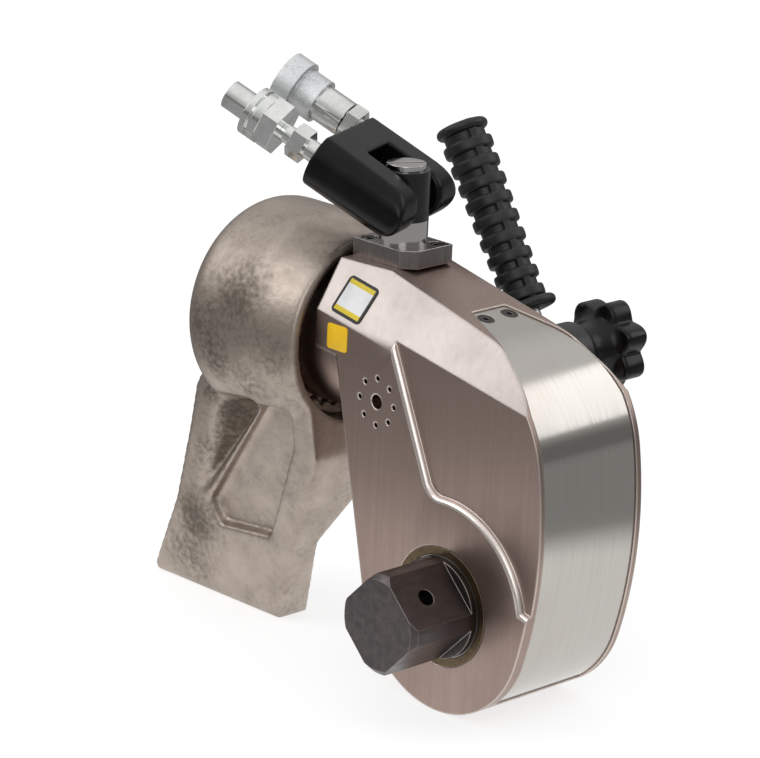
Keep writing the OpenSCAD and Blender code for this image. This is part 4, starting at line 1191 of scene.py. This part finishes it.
@dataclass
class Studio:
    """Pale floor, soft light and the camera of the photograph."""

    azimuth: float = 45.271
    elevation: float = 17.186
    roll: float = 2.477
    lens: float = 180.06
    distance: float = 1706.06
    right: float = -26.73
    up: float = 102.08
    sensor: float = 36.0
    clip_end: float = 100.0
    floor_half: float = 12.0
    floor_bounce: float = 0.8
    glow: float = 0.74
    floor_white: float = 0.36
    mirror: float = 1.0
    mirror_far: float = 0.34
    fade_from: float = 0.26
    fade_to: float = 0.36
    sky_steps: tuple[tuple[float, float], ...] = (
        (0.0, 0.2), (0.16, 0.2), (0.27, 0.48), (0.56, 0.64), (0.75, 0.9), (1.0, 1.0))
    lights: tuple[tuple[str, tuple[float, float, float], float, float, float], ...] = (
        ("key_softbox", (-0.49, -0.66, 0.56), 1.6, 0.9, 1.9),
        ("front_softbox", (0.62, -0.70, 0.42), 2.3, 1.2, 1.5),
        ("rear_softbox", (0.50, 0.70, 0.48), 1.6, 0.8, 1.25))

    def camera(self) -> None:
        """Places the camera by its azimuth, elevation and roll round the drive's axis."""
        turn = math.radians(self.azimuth)
        lift = math.radians(self.elevation)
        spin = math.radians(self.roll)
        back = Vector((math.sin(turn) * math.cos(lift), -math.cos(turn) * math.cos(lift), math.sin(lift)))
        level = Vector((math.cos(turn), math.sin(turn), 0.0))
        upright = back.cross(level)
        right = math.cos(spin) * level + math.sin(spin) * upright
        above = -math.sin(spin) * level + math.cos(spin) * upright
        eye = (back * self.distance + right * self.right + above * self.up) * MM
        data = bpy.data.cameras.new("photo_camera")
        data.lens = self.lens
        data.sensor_width = self.sensor
        data.clip_end = self.clip_end
        camera = linked("photo_camera", data)
        camera.matrix_world = Matrix.Translation(eye) @ Matrix((right, above, back)).transposed().to_4x4()
        bpy.context.scene.camera = camera

    def floor(self) -> None:
        """Lays a pale floor that is white to the camera and in reflections and keeps the shadow."""
        half = self.floor_half
        height = CAD_BOX[0].z
        corners = np.array([[-half, -half, height], [half, -half, height], [half, half, height],
                            [-half, half, height]])
        floor = make_piece("floor", corners, [np.array([[0, 1, 2, 3]])])
        material, graph, shader = start_material("white_floor")
        graph.tree.nodes.remove(shader)
        white = (1.0, 1.0, 1.0, 1.0)
        lit = graph.add("ShaderNodeBsdfDiffuse", {"Color": (self.floor_bounce,) * 3 + (1.0,)})
        shown = graph.add("ShaderNodeBsdfDiffuse", {"Color": (self.floor_white,) * 3 + (1.0,)})
        glow = graph.add("ShaderNodeEmission", {"Color": white, "Strength": self.glow})
        seen = graph.add("ShaderNodeAddShader", {0: shown.outputs[0], 1: glow.outputs[0]})
        place = graph.add("ShaderNodeTexCoord")
        away = graph.add("ShaderNodeVectorMath", {0: place.outputs["Object"]}, operation="LENGTH")
        fading = graph.spread(away.outputs["Value"], self.fade_from, self.fade_to, self.mirror,
                              self.mirror_far)
        mirrored = graph.add("ShaderNodeEmission", {"Color": white, "Strength": fading})
        path = graph.add("ShaderNodeLightPath")
        glossy = graph.maths("MAXIMUM", path.outputs["Is Glossy Ray"], path.outputs["Is Transmission Ray"])
        bounced = graph.add("ShaderNodeMixShader", {0: glossy, 1: lit.outputs[0], 2: mirrored.outputs[0]})
        both = graph.add("ShaderNodeMixShader", {0: path.outputs["Is Camera Ray"], 1: bounced.outputs[0],
                                                 2: seen.outputs[0]})
        graph.tree.links.new(both.outputs[0], graph.tree.nodes["Material Output"].inputs[0])
        floor.data.materials.append(material)

    def softbox(self, name: str, way: tuple[float, float, float], far: float, size: float,
                brightness: float) -> None:
        """Hangs a square soft light that looks at the wrench.

        Args:
            name: name of the light.
            way: direction from the wrench to the light.
            far: distance in metres.
            size: side of the square in metres.
            brightness: light that its face shows, where 1 is white.
        """
        lamp = bpy.data.lights.new(name, "AREA")
        lamp.size = size
        lamp.energy = brightness * math.pi * size * size
        piece = linked(name, lamp)
        middle = (CAD_BOX[0] + CAD_BOX[1]) / 2
        back = Vector(way).normalized()
        turn = back.to_track_quat("Z", "Y").to_matrix().to_4x4()
        piece.matrix_world = Matrix.Translation(middle + back * far) @ turn

    def sky(self) -> None:
        """Surrounds the scene with a studio that is dim at the horizon and bright overhead."""
        world = bpy.data.worlds.new("studio")
        bpy.context.scene.world = world
        world.use_nodes = True
        graph = Graph(world.node_tree)
        place = graph.add("ShaderNodeTexCoord")
        height = graph.add("ShaderNodeSeparateXYZ", {0: place.outputs["Generated"]})
        ramp = graph.add("ShaderNodeValToRGB", {0: height.outputs[2]})
        while len(ramp.color_ramp.elements) < len(self.sky_steps):
            ramp.color_ramp.elements.new(0.5)
        for stop, (where, light) in zip(ramp.color_ramp.elements, self.sky_steps):
            stop.position = where
            stop.color = (light, light, light, 1.0)
        ground = graph.tree.nodes["Background"]
        graph.tree.links.new(ramp.outputs[0], ground.inputs[0])

    def build(self) -> None:
        """Sets up the whole studio."""
        self.camera()
        self.floor()
        self.sky()
        for light in self.lights:
            self.softbox(*light)
        bpy.context.scene.view_settings.view_transform = "Standard"


BODY_LOOKS = {
    Look.STEEL: ("cylinder_cap", "pawl_pin"), Look.SEAL: ("cap_seal", "rod_seal"),
    Look.BRONZE: ("rod_gland", "near_drive_bush", "far_drive_bush"), Look.STAINLESS: ("front_shroud",),
    Look.SCREW_STEEL: ("shroud_screws", "flange_screws"), Look.FLANGE_STEEL: ("swivel_flange",),
    Look.SPRING_STEEL: ("pawl_spring",)}
MECHANISM_LOOKS = {
    Look.STEEL: ("drive_plates", "shoe_guide", "guide_pins", "piston", "rod_pin", "drive_shoe",
                 "ratchet_wheel", "release_button", "holding_pawl"),
    Look.SPRING_STEEL: ("shoe_springs", "release_spring"), Look.SEAL: ("piston_seal",),
    Look.CHROMED: ("piston_rod",), Look.BLACK_OXIDE: ("square_drive", "drive_retainer")}
ARM_LOOKS = {
    Look.STEEL: ("latch_bush",), Look.SPRING_STEEL: ("latch_spring",), Look.SCREW_STEEL: ("latch_plunger",)}
SWIVEL_LOOKS = {
    Look.POST: ("swivel_post",), Look.CHROMED: ("post_plug",), Look.SEAL: ("post_seal",),
    Look.STEEL: ("pivot_pin",), Look.ZINC: ("near_adapter", "far_adapter", "male_nipple", "female_coupler"),
    Look.KNURLED_ZINC: ("coupler_collar",)}


def main() -> None:
    """Builds and dresses every sub-assembly, then the studio."""
    logging.basicConfig(level=logging.INFO, format="%(message)s")
    for looks in (BODY_LOOKS, MECHANISM_LOOKS, ARM_LOOKS, SWIVEL_LOOKS):
        Dressed(looks).dress()
    Housing().build()
    ReactionArm().build()
    SwivelManifold().build()
    PositioningHandle().build()
    Tag("bevel_tag", "tag_white", Look.WHITE_TAG, (-87.0, 0.0, 118.9), (19.0, 19.0), fall=10.2, lean=33.3,
        inset=(7.0, 0.0, 2.5)).build()
    Tag("side_tag", "tag_yellow", Look.YELLOW_TAG, (-79.2, 0.0, 102.3), (13.0, 12.0), round_r=1.6).build()
    Studio().build()


if __name__ == "__main__":
    main()
